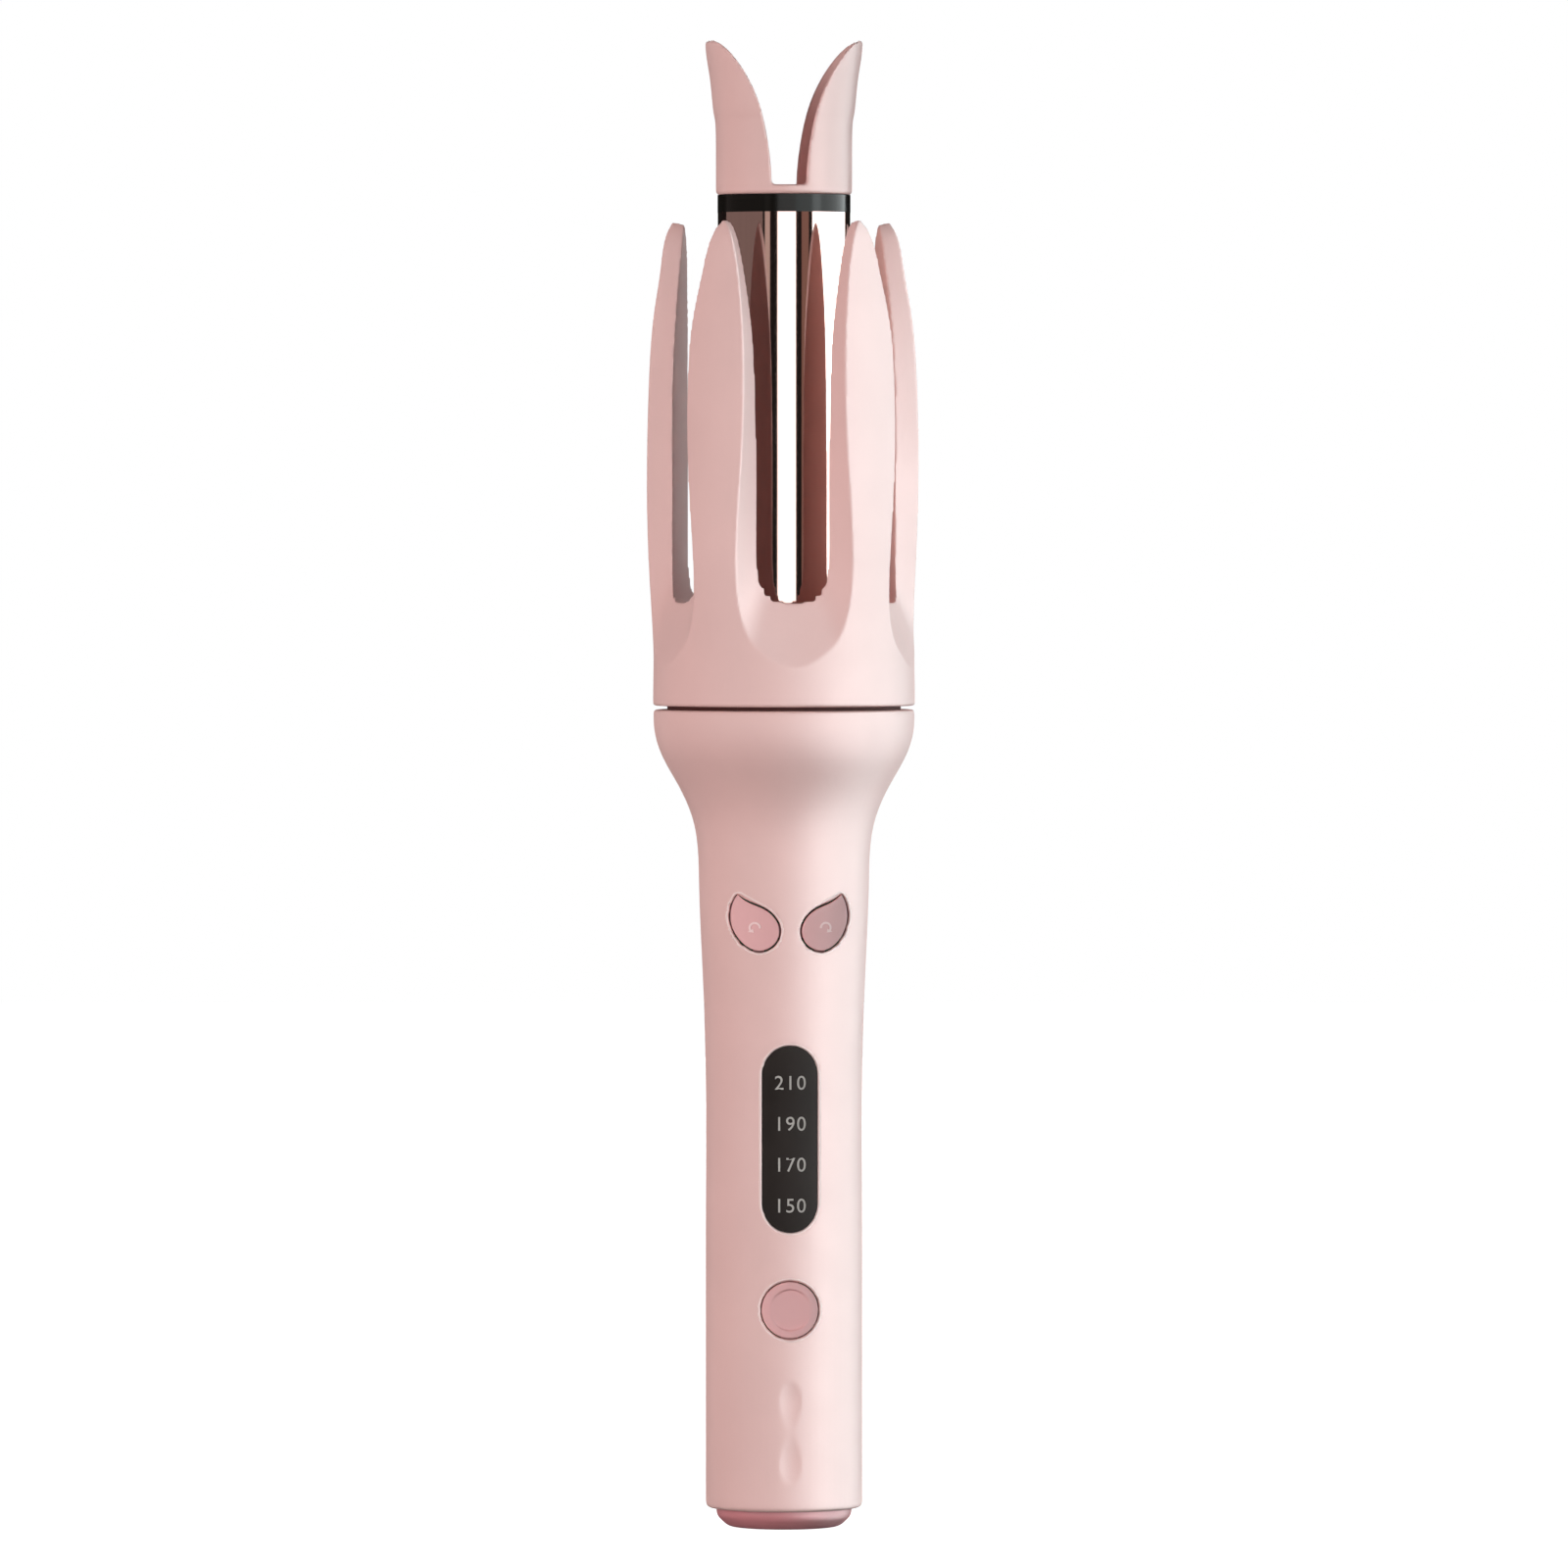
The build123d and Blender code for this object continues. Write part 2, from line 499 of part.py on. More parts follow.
# ---------------------------------------------------------------- buttons
with BuildPart() as power_button:
    with BuildSketch(Plane.XY.offset(POWER_Z - POWER_R)):
        with Locations((0, POWER_CROWN_Y)):
            Circle(HANDLE_R + POWER_PROUD + POWER_CROWN_Y)
        Circle(GRIP_INNER_R + 0.4, mode=Mode.SUBTRACT)
    extrude(amount=2 * POWER_R)
    with BuildSketch(IN_FRONT):
        with Locations((0, POWER_Z)):
            Circle(POWER_R - BUTTON_GAP)
    extrude(amount=20, mode=Mode.INTERSECT)
    # dished centre inside a raised ring
    with BuildSketch(Plane.XZ.offset(HANDLE_R - 0.45)):
        with Locations((0, POWER_Z)):
            Circle(POWER_DISH_R)
    extrude(amount=2, mode=Mode.SUBTRACT)
    # stem to the switch, and two lugs that keep the button in the shell
    with BuildSketch(Plane.XZ.offset(PLUNGER_TIP)):
        with Locations((0, POWER_Z)):
            Circle(STEM_R)
    extrude(amount=GRIP_INNER_R + 0.8 - PLUNGER_TIP)
    with BuildSketch(Plane.XZ.offset(GRIP_INNER_R - 1.5)):
        with Locations((0, POWER_Z)):
            Rectangle(3.6, 2 * POWER_R + 2)
    extrude(amount=1.0)
    with BuildSketch(Plane.XZ.offset(GRIP_INNER_R - 0.6)):
        with Locations((0, POWER_Z)):
            Rectangle(3.6, 2 * (POWER_R - BUTTON_GAP) - 0.4)
    extrude(amount=1.4)
save(power_button, "power_button")

for side, name in ((-1, "reverse_button"), (1, "forward_button")):
    with BuildPart() as leaf_button:
        with BuildSketch(Plane.XZ):
            with BuildLine():
                Polyline((LEAF_SKIN[0][0], LEAF_SKIN_Z[0]), (LEAF_SKIN[0][1], LEAF_SKIN_Z[0]),
                         (LEAF_SKIN[1][1], LEAF_SKIN_Z[1]), (LEAF_SKIN[1][0], LEAF_SKIN_Z[1]),
                         (LEAF_SKIN[0][0], LEAF_SKIN_Z[0]))
            make_face()
        revolve(axis=FRONT, revolution_arc=180)
        extrude(leaf(side, -BUTTON_GAP), amount=20, mode=Mode.INTERSECT)
        with BuildSketch(Plane.XZ.offset(PLUNGER_TIP)):
            with Locations((side * LEAF_X, LEAF_Z)):
                Circle(STEM_R)
        extrude(amount=INNER_LUG_Y + 1.2 - PLUNGER_TIP)
        # lugs behind the shell, one on the inner side and one below
        with BuildSketch(Plane.XZ.offset(INNER_LUG_Y)):
            with Locations((side * 4.0, LEAF_Z - 1.4)):
                Rectangle(5.2, 3.0)
        extrude(amount=LUG_THICK)
        with BuildSketch(Plane.XZ.offset(LOWER_LUG_Y)):
            with Locations((side * 6.4, LEAF_Z - 4.4)):
                Rectangle(2.4, 5.0)
        extrude(amount=LUG_THICK)
        with BuildSketch(Plane.XZ.offset(INNER_LUG_Y + 0.5)):
            with Locations((side * 5.0, LEAF_Z - 1.4)):
                Rectangle(3.6, 3.0)
        extrude(amount=1.3)
        with BuildSketch(Plane.XZ.offset(LOWER_LUG_Y)):
            with Locations((side * 6.4, LEAF_Z - 3.2)):
                Rectangle(2.4, 2.6)
        extrude(amount=2.9)
    save(leaf_button, name)

for name, place in SWITCHES.items():
    with BuildPart() as plunger:
        with BuildSketch(Plane.XZ.offset(-BOARD_FRONT_Y + SWITCH_H - 1.0)):
            with Locations(place):
                Circle(PLUNGER_R)
        extrude(amount=PLUNGER_TIP + BOARD_FRONT_Y - SWITCH_H + 1.0)
    save(plunger, f"{name}_plunger")

# ---------------------------------------------------------------- head chassis and drive
with BuildPart() as head_chassis:
    with BuildSketch(Plane.XZ):
        with BuildLine():
            Polyline((DRUM_INNER_R, DRUM_GROOVE[0] + 0.05), (DRUM_GROOVE_R - 0.1, DRUM_GROOVE[0] + 0.05),
                     (DRUM_GROOVE_R - 0.1, DRUM_GROOVE[1] - 0.05), (DRUM_R, DRUM_GROOVE[1] - 0.05),
                     (DRUM_R, MOUNT_TOP_Z), (SHOULDER_R, MOUNT_TOP_Z), (SHOULDER_R, SHOULDER_Z),
                     (SPINDLE_R, SHOULDER_Z), (SPINDLE_R, SPINDLE_TOP_Z),
                     (SPINDLE_BORE_R, SPINDLE_TOP_Z), (SPINDLE_BORE_R, MOUNT_PLATE_Z),
                     (DRUM_INNER_R, MOUNT_PLATE_Z), (DRUM_INNER_R, DRUM_GROOVE[0] + 0.05))
        make_face()
    revolve(axis=Axis.Z)
    # ribs under the plate, away from the motor
    with BuildSketch(Plane.XY.offset(MOUNT_PLATE_Z - 4)):
        with PolarLocations((SPINDLE_BORE_R + DRUM_R) / 2, 3, start_angle=90, angular_range=270):
            Rectangle(DRUM_R - SPINDLE_BORE_R - 1.6, 1.5)
    extrude(amount=4.2)
    # shaft hole, countersunk motor screws, pilot holes for the barrel screws
    with BuildSketch(Plane.XY.offset(MOUNT_PLATE_Z - 1)):
        with Locations((MOTOR_X, 0)):
            Circle(2.6)
    extrude(amount=4, mode=Mode.SUBTRACT)
    with Locations(*[Location((MOTOR_X, s * MOTOR_SCREW_Y, MOUNT_TOP_Z)) for s in (-1, 1)]):
        CounterSinkHole(radius=0.85, counter_sink_radius=1.6, depth=4)
    with BuildSketch(Plane.XY.offset(SPINDLE_TOP_Z)):
        with PolarLocations(BARREL_SCREW_R, 3, start_angle=90):
            Circle(0.7)
    extrude(amount=-4.5, mode=Mode.SUBTRACT)
save(head_chassis, "head_chassis")

with BuildPart() as drive_motor:
    with BuildSketch(Plane.XY.offset(MOTOR_BACK_Z)):
        with Locations((MOTOR_X, 0)):
            Circle(6)
            Rectangle(10, 12, mode=Mode.INTERSECT)
    extrude(amount=MOTOR_CAN)
    with BuildSketch(Plane.XY.offset(MOTOR_BACK_Z - 1.4)):
        with Locations((MOTOR_X, 0)):
            Circle(4.4)
    extrude(amount=1.4)
    with BuildSketch(Plane.XY.offset(MOTOR_BACK_Z - 2.8)):
        with Locations((MOTOR_X, 3), (MOTOR_X, -3)):
            Rectangle(0.4, 1.4)
    extrude(amount=1.6)
save(drive_motor, "drive_motor")

with BuildPart() as motor_gearbox:
    with BuildSketch(Plane.XY.offset(MOUNT_PLATE_Z - GEARBOX)):
        with Locations((MOTOR_X, 0)):
            Rectangle(10, 12)
    extrude(amount=GEARBOX)
    # the open sides between the gearbox plates
    for side in (-1, 1):
        with BuildSketch(Plane.XZ):
            with Locations((MOTOR_X + side * 5, MOUNT_PLATE_Z - GEARBOX / 2)):
                Rectangle(1.6, 6.4)
        extrude(amount=4, both=True, mode=Mode.SUBTRACT)
    with Locations(Location((MOTOR_X, 0, MOUNT_PLATE_Z))):
        Hole(radius=SHAFT_R + 0.05, depth=4)
    with Locations(*[Location((MOTOR_X, s * MOTOR_SCREW_Y, MOUNT_PLATE_Z)) for s in (-1, 1)]):
        Hole(radius=0.75, depth=3)
save(motor_gearbox, "motor_gearbox")

with BuildPart() as motor_screws:
    for s in (-1, 1):
        with BuildSketch(Plane.XY.offset(MOUNT_TOP_Z - 5)):
            with Locations((MOTOR_X, s * MOTOR_SCREW_Y)):
                Circle(0.75)
        extrude(amount=4.6)
        with BuildSketch(Plane.XY.offset(MOUNT_TOP_Z - 0.75)):
            with Locations((MOTOR_X, s * MOTOR_SCREW_Y)):
                Circle(0.8)
        with BuildSketch(Plane.XY.offset(MOUNT_TOP_Z - 0.05)):
            with Locations((MOTOR_X, s * MOTOR_SCREW_Y)):
                Circle(1.5)
        loft()
save(motor_screws, "motor_screws")

with BuildPart() as motor_shaft:
    with BuildSketch(Plane.XY.offset(MOUNT_PLATE_Z - 3.9)):
        with Locations((MOTOR_X, 0)):
            Circle(SHAFT_R)
    extrude(amount=SHAFT_TOP_Z - MOUNT_PLATE_Z + 3.9)
    with BuildSketch(Plane.XY.offset(GEAR_BOTTOM_Z)):
        with Locations((MOTOR_X + 1.0, 0)):
            Rectangle(2, 4, align=(Align.MIN, Align.CENTER))
    extrude(amount=6, mode=Mode.SUBTRACT)
save(motor_shaft, "motor_shaft")


def involute(angle):
    return tan(angle) - angle


def tooth(teeth, r_inner, r_outer, width_at_pitch):
    """Closed outline of one involute tooth (or tooth space) pointing along +X."""
    pressure = radians(20)
    pitch_r = MODULE * teeth / 2
    base_r = pitch_r * cos(pressure)
    flank = []
    for i in range(5):
        r = r_inner + (r_outer - r_inner) * i / 4
        roll = acos(min(1, base_r / r))
        half = width_at_pitch / 2 / pitch_r + involute(pressure) - involute(roll)
        flank.append((r * cos(half), r * sin(half)))
    with BuildSketch() as outline:
        with BuildLine():
            Spline(*flank)
            Line(flank[-1], (flank[-1][0], -flank[-1][1]))
            Spline(*[(x, -y) for x, y in flank])
            Line(flank[0], (flank[0][0], -flank[0][1]))
        make_face()
    return outline.sketch


half_pitch = pi * MODULE / 2
addendum = 0.8 * MODULE
dedendum = 1.15 * MODULE
pinion_pitch_r = MODULE * PINION_TEETH / 2
ring_pitch_r = MODULE * RING_TEETH / 2
pinion_tooth = tooth(PINION_TEETH, pinion_pitch_r - dedendum - 0.2, pinion_pitch_r + addendum,
                     half_pitch - GEAR_BACKLASH)
ring_space = tooth(RING_TEETH, ring_pitch_r - addendum - 0.2, ring_pitch_r + dedendum,
                   half_pitch + GEAR_BACKLASH)

with BuildPart() as drive_pinion:
    with BuildSketch(Plane.XY.offset(GEAR_BOTTOM_Z)):
        with Locations((MOTOR_X, 0)):
            Circle(pinion_pitch_r - dedendum)
            with PolarLocations(0, PINION_TEETH):
                add(pinion_tooth)
    extrude(amount=PINION_TOP_Z - GEAR_BOTTOM_Z)
    add(motor_shaft.part, mode=Mode.SUBTRACT)
save(drive_pinion, "drive_pinion")

with BuildPart() as ring_gear:
    with BuildSketch(Plane.XY.offset(GEAR_BOTTOM_Z - 0.2)):
        Circle(RING_GEAR_R)
        Circle(ring_pitch_r - addendum, mode=Mode.SUBTRACT)
        with PolarLocations(0, RING_TEETH):
            add(ring_space, mode=Mode.SUBTRACT)
    extrude(amount=RING_WEB_Z - GEAR_BOTTOM_Z + 0.2)
    with BuildSketch(Plane.XY.offset(RING_WEB_Z)):
        Circle(RING_GEAR_R)
        Circle(BUSH_R + 0.5, mode=Mode.SUBTRACT)
    extrude(amount=CROWN_FLOOR_Z - RING_WEB_Z)
    with Locations(Location((0, 0, RING_WEB_Z), (180, 0, 0))):
        with PolarLocations(RING_SCREW_R, 4, start_angle=45):
            CounterSinkHole(radius=1.05, counter_sink_radius=1.7, depth=3)
save(ring_gear, "ring_gear")

with BuildPart() as ring_gear_screws:
    for k in range(4):
        angle = radians(45 + 90 * k)
        place = (RING_SCREW_R * cos(angle), RING_SCREW_R * sin(angle))
        with BuildSketch(Plane.XY.offset(RING_WEB_Z + 0.05)):
            with Locations(place):
                Circle(1.6)
        with BuildSketch(Plane.XY.offset(RING_WEB_Z + 0.75)):
            with Locations(place):
                Circle(1.0)
        loft()
        with BuildSketch(Plane.XY.offset(RING_WEB_Z + 0.3)):
            with Locations(place):
                Circle(0.95)
        extrude(amount=3.2)
save(ring_gear_screws, "ring_gear_screws")

with BuildPart() as thrust_washer:
    with BuildSketch(Plane.XY.offset(SHOULDER_Z)):
        Circle(BUSH_R - 0.1)
        Circle(SPINDLE_R + 0.05, mode=Mode.SUBTRACT)
    extrude(amount=0.5)
save(thrust_washer, "thrust_washer")

with BuildPart() as crown_bush:
    with BuildSketch(Plane.XY.offset(SHOULDER_Z + 0.55)):
        Circle(BUSH_R)
        Circle(SPINDLE_R + 0.05, mode=Mode.SUBTRACT)
    extrude(amount=SPINDLE_TOP_Z - 0.1 - SHOULDER_Z - 0.55)
save(crown_bush, "crown_bush")

# ---------------------------------------------------------------- petal crown
# A slot between two petals is wide at the outer face and narrow at the inner one.  Each station
# is (half-width, height, radius) of the inner edge, then of the outer edge.
SLOT_STATIONS = [
    ((0, 195.7, 23.5), (0, 182.7, 27.4)),
    ((3.8, 196.7, 23.5), (6.1, 185.0, 27.5)),
    ((5.8, 198.4, 23.5), (9.1, 188.0, 27.6)),
    ((7.0, 201.2, 23.5), (11.1, 193.0, 27.9)),
    ((7.45, 206.0, 23.5), (12.2, 201.0, 28.5)),
    ((7.45, 216.0, 23.5), (12.0, 214.0, 29.0)),
    ((7.6, 232.0, 23.5), (11.0, 231.0, 29.0)),
    ((8.1, 248.0, 23.2), (10.75, 248.0, 28.4)),
    ((8.9, 257.0, 22.7), (11.1, 257.0, 27.6)),
    ((10.1, 266.0, 22.0), (11.8, 266.0, 26.4)),
    ((11.4, 272.5, 21.7), (12.8, 272.5, 25.4)),
    ((13.1, 276.2, 21.6), (14.4, 276.2, 24.7)),
    ((15.8, 277.6, 21.6), (17.3, 277.6, 24.7)),
]
SLOT_NEAR_Y = 17.5
SLOT_FAR_Y = 30.5


def slot_outline(y):
    """Outline of a slot on the plane at distance y in front of the axis."""
    points = []
    for (x_in, z_in, r_in), (x_out, z_out, r_out) in SLOT_STATIONS:
        y_in = sqrt(r_in ** 2 - x_in ** 2)
        y_out = sqrt(r_out ** 2 - x_out ** 2)
        share = (y - y_in) / (y_out - y_in)
        points.append((x_in + share * (x_out - x_in), z_in + share * (z_out - z_in)))
    steps = [k / (len(points) - 1) for k in range(len(points))]
    top_z = max(CROWN_TOP_Z + 4, points[-1][1] + 1)
    with BuildSketch(Plane.XZ.offset(y)) as outline:
        with BuildLine():
            add(Edge.make_spline([(-x, z) for x, z in reversed(points)] + points[1:],
                                 parameters=[-s for s in reversed(steps)] + steps[1:]))
            Polyline(points[-1], (points[-1][0], top_z), (-points[-1][0], top_z),
                     (-points[-1][0], points[-1][1]))
        make_face()
    return outline.sketch


with BuildPart() as slot_cutter:
    add(slot_outline(SLOT_NEAR_Y))
    add(slot_outline(SLOT_FAR_Y))
    loft(ruled=True)

with BuildPart() as petal_crown:
    with BuildSketch(Plane.XZ):
        with BuildLine():
            Polyline((CROWN_FOOT[0] - 0.5, SEAM_Z + SEAM_GAP), (CROWN_SKIRT_R, SEAM_Z + SEAM_GAP),
                     (CROWN_SKIRT_R, CROWN_STEP[1]), CROWN_STEP, (CROWN_STEP[0], CROWN_FLOOR_Z),
                     (CROWN_POCKET[1], CROWN_FLOOR_Z), (CROWN_POCKET[1], CROWN_POCKET[2]),
                     (CROWN_POCKET[0], CROWN_POCKET[2]), (CROWN_POCKET[0], CROWN_FLOOR_Z),
                     (BUSH_R + 0.05, CROWN_FLOOR_Z), (BUSH_R + 0.05, SPINDLE_TOP_Z - 0.3),
                     (WELL_R, SPINDLE_TOP_Z - 0.3), (WELL_R, CROWN_DECK_Z - 0.4),
                     (WELL_R + 0.4, CROWN_DECK_Z), (CROWN_INNER_R - 0.6, CROWN_DECK_Z),
                     (CROWN_INNER_R, CROWN_DECK_Z + 0.6), (CROWN_INNER_R, PETAL_STRAIGHT_Z))
            Spline((CROWN_INNER_R, PETAL_STRAIGHT_Z), (23.2, 248), (22.0, 266), (21.6, PETAL_LIP_Z),
                   tangents=(UP, UP))
            ThreePointArc((21.6, PETAL_LIP_Z), (23.1, CROWN_TOP_Z), (24.6, PETAL_LIP_Z))
            Spline((24.6, PETAL_LIP_Z), (26.2, 266.5), (27.5, 257), (28.6, 242), (29.0, 226),
                   (28.5, 200), (27.6, 184), (CROWN_FOOT[0], CROWN_FOOT[1]),
                   tangents=((0.5, -1), (0, -1)))
            Line((CROWN_FOOT[0], CROWN_FOOT[1]), (CROWN_FOOT[0], CROWN_FOOT[2]))
            RadiusArc((CROWN_FOOT[0], CROWN_FOOT[2]), (CROWN_FOOT[0] - 0.5, SEAM_Z + SEAM_GAP), 0.5)
        make_face()
    revolve(axis=Axis.Z)
    with PolarLocations(0, PETALS):
        add(slot_cutter.part, mode=Mode.SUBTRACT)
    with BuildSketch(Plane.XY.offset(CROWN_FLOOR_Z)):
        with PolarLocations(RING_SCREW_R, 4, start_angle=45):
            Circle(0.95)
    extrude(amount=2.2, mode=Mode.SUBTRACT)
save(petal_crown, "petal_crown")

# ---------------------------------------------------------------- barrel
with BuildPart() as barrel_base:
    with BuildSketch(Plane.XZ):
        with BuildLine():
            Polyline((6.8, SPINDLE_TOP_Z), (BARREL_R + 0.2, SPINDLE_TOP_Z),
                     (BARREL_R + 0.2, BARREL_BOTTOM_Z), (BARREL_PLUG_R, BARREL_BOTTOM_Z),
                     (BARREL_PLUG_R, SPINDLE_TOP_Z + 8), (BARREL_PLUG_R - 1.4, SPINDLE_TOP_Z + 8),
                     (BARREL_PLUG_R - 1.4, BASE_FLOOR_Z), (6.8, BASE_FLOOR_Z), (6.8, SPINDLE_TOP_Z))
        make_face()
    revolve(axis=Axis.Z)
    with BuildSketch(Plane.XY.offset(SPINDLE_TOP_Z)):
        with PolarLocations(BARREL_SCREW_R, 3, start_angle=90):
            Circle(0.85)
    extrude(amount=4, mode=Mode.SUBTRACT)
save(barrel_base, "barrel_base")

with BuildPart() as barrel_screws:
    with BuildSketch(Plane.XY.offset(BASE_FLOOR_Z)):
        with PolarLocations(BARREL_SCREW_R, 3, start_angle=90):
            Circle(1.5)
    extrude(amount=1.1)
    with BuildSketch(Plane.XY.offset(BASE_FLOOR_Z)):
        with PolarLocations(BARREL_SCREW_R, 3, start_angle=90):
            Circle(0.7)
    extrude(amount=-7)
save(barrel_screws, "barrel_screws")

with BuildPart() as barrel_tube:
    with BuildSketch(Plane.XY.offset(BARREL_BOTTOM_Z)):
        Circle(BARREL_R)
        Circle(BARREL_R - BARREL_WALL, mode=Mode.SUBTRACT)
    extrude(amount=BARREL_TOP_Z - BARREL_BOTTOM_Z)
save(barrel_tube, "barrel_tube")

# two D-shaped aluminium spreaders squeeze the flat heater and press on the barrel
for facing, name in ((-1, "heater_spreader_front"), (1, "heater_spreader_rear")):
    with BuildPart() as spreader:
        with BuildSketch(Plane.XY.offset(HEATER_Z[0])):
            Circle(BARREL_PLUG_R)
            Circle(BARREL_PLUG_R - 1.5, mode=Mode.SUBTRACT)
            Rectangle(2 * BARREL_PLUG_R - 1.2, 2 * CORE_HALF)
            with Locations((0, -facing * (20 - HEATER_HALF))):
                Rectangle(60, 40, mode=Mode.SUBTRACT)
        extrude(amount=HEATER_Z[1] - HEATER_Z[0])
    save(spreader, name)

with BuildPart() as heater_plate:
    with BuildSketch(Plane.XY.offset(HEATER_Z[0] + 2)):
        Rectangle(14, 2 * HEATER_HALF)
    extrude(amount=HEATER_Z[1] - HEATER_Z[0] - 4)
save(heater_plate, "heater_plate")

with BuildPart() as thermistor:
    with BuildSketch(Plane.XY.offset(THERMISTOR_Z)):
        with Locations((0, -CORE_HALF - 1.0)):
            Circle(1.0)
    extrude(amount=4)
    fillet(thermistor.edges().filter_by(GeomType.CIRCLE), radius=0.8)
save(thermistor, "thermistor")

with BuildPart() as thermal_fuse:
    with BuildSketch(Plane.XY.offset(FUSE_Z)):
        with Locations((0, CORE_HALF + 1.6)):
            Circle(1.6)
    extrude(amount=FUSE_LENGTH)
    with BuildSketch(Plane.XY.offset(FUSE_Z - 2)):
        with Locations((0, CORE_HALF + 1.6)):
            Circle(0.4)
    extrude(amount=FUSE_LENGTH + 4)
save(thermal_fuse, "thermal_fuse")

with BuildPart() as tip_insulator:
    with BuildSketch(Plane.XZ):
        with BuildLine():
            Polyline((TIP_BORE_R, TIP_PLUG_Z), (BARREL_PLUG_R, TIP_PLUG_Z),
                     (BARREL_PLUG_R, BARREL_TOP_Z), (BARREL_R + 0.05, BARREL_TOP_Z),
                     (BARREL_R + 0.05, BAND_TOP_Z), (TIP_BORE_R, BAND_TOP_Z), (TIP_BORE_R, TIP_PLUG_Z))
        make_face()
    revolve(axis=Axis.Z)
save(tip_insulator, "tip_insulator")

# ---------------------------------------------------------------- guide ears
with BuildPart() as ear_cap:
    with BuildSketch(Plane.XZ):
        with BuildLine():
            Line((EAR_CAP_R, EAR_STRAIGHT_Z), (EAR_CAP_R, BAND_TOP_Z + 0.8))
            RadiusArc((EAR_CAP_R, BAND_TOP_Z + 0.8), (EAR_CAP_R - 0.8, BAND_TOP_Z), 0.8)
            Polyline((EAR_CAP_R - 0.8, BAND_TOP_Z), (TIP_BORE_R - 0.05, BAND_TOP_Z),
                     (TIP_BORE_R - 0.05, EAR_SPIGOT_Z), (TIP_BORE_R - 1.6, EAR_SPIGOT_Z),
                     (TIP_BORE_R - 1.6, BAND_TOP_Z), (0, BAND_TOP_Z), (0, EAR_BASE_Z),
                     (11.6, EAR_BASE_Z))
            Spline((11.6, EAR_BASE_Z), (12.0, EAR_STRAIGHT_Z), (12.8, 300), (14.1, 307),
                   (16.3, EAR_TOP_Z), tangents=(UP, (0.5, 1)))
            Spline((16.3, EAR_TOP_Z), (16.6, 313), (15.7, 306.5), (14.9, 299), (EAR_CAP_R, EAR_STRAIGHT_Z),
                   tangents=((0.6, -0.4), (0, -1)))
        make_face()
    revolve(axis=Axis.Z)
    # the channel between the ears, narrow at its floor and opening towards the tips
    with BuildSketch(Plane.XZ):
        with BuildLine():
            Spline(*EAR_CHANNEL, tangents=(UP, (1, 0.35)))
            Spline(*[(-w, z) for w, z in EAR_CHANNEL], tangents=(UP, (-1, 0.35)))
            Line((-EAR_CHANNEL[0][0], EAR_CHANNEL[0][1]), EAR_CHANNEL[0])
            Polyline(EAR_CHANNEL[-1], (EAR_CHANNEL[-1][0], 320), (-EAR_CHANNEL[-1][0], 320),
                     (-EAR_CHANNEL[-1][0], EAR_CHANNEL[-1][1]))
        make_face()
    extrude(amount=30, both=True, mode=Mode.SUBTRACT)
save(ear_cap, "ear_cap")

# ---------------------------------------------------------------- leads
# Each lead is a list of corner points; its mirror image in x or y gives the second wire.
HEATER_LEAD = [(-4.0, -8.5, 143), (-4.0, -8.5, 156.5), (-4.0, -1.5, 168), (-4.0, -0.1, 182),
               (-4.0, -0.1, 206.5)]
MOTOR_LEADS = [[(7.5, -8.4, 143), (7.5, -8.4, 156.65), (MOTOR_X, -3.2, 156.65)],
               [(5.9, -8.4, 143), (5.9, -8.4, 156.65), (MOTOR_X, 3.2, 156.65)]]
CHARGE_LEAD = [(5.5, 2.1, 12.5), (5.5, 2.1, 15.8), (5.5, -8.45, 19.6), (5.5, -8.45, 36)]


def lead(points, radius, width):
    """One insulated wire along straight runs joined by arcs."""
    with BuildPart() as wire:
        with BuildLine() as route:
            FilletPolyline(*points, radius=radius)
        with BuildSketch(Plane(origin=route.wire() @ 0, z_dir=route.wire() % 0)):
            Circle(width / 2)
        sweep()
    return wire.part


def mirrored(points):
    """The same route on the other side of x = 0."""
    return [(-x, y, z) for x, y, z in points]


heater_wires = [lead(route, 3.0, 1.3) for route in (HEATER_LEAD, mirrored(HEATER_LEAD))]
motor_wires = [lead(route, 1.5, 1.0) for route in MOTOR_LEADS]
charge_wires = [lead(route, 2.0, 1.2) for route in (CHARGE_LEAD, mirrored(CHARGE_LEAD))]

with BuildPart() as heater_leads:
    add(heater_wires)
save(heater_leads, "heater_leads")

with BuildPart() as motor_leads:
    add(motor_wires)
save(motor_leads, "motor_leads")

with BuildPart() as charge_leads:
    add(charge_wires)
save(charge_leads, "charge_leads")
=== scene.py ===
import json
import math

import bpy
import bmesh
from mathutils import Matrix, Vector, geometry


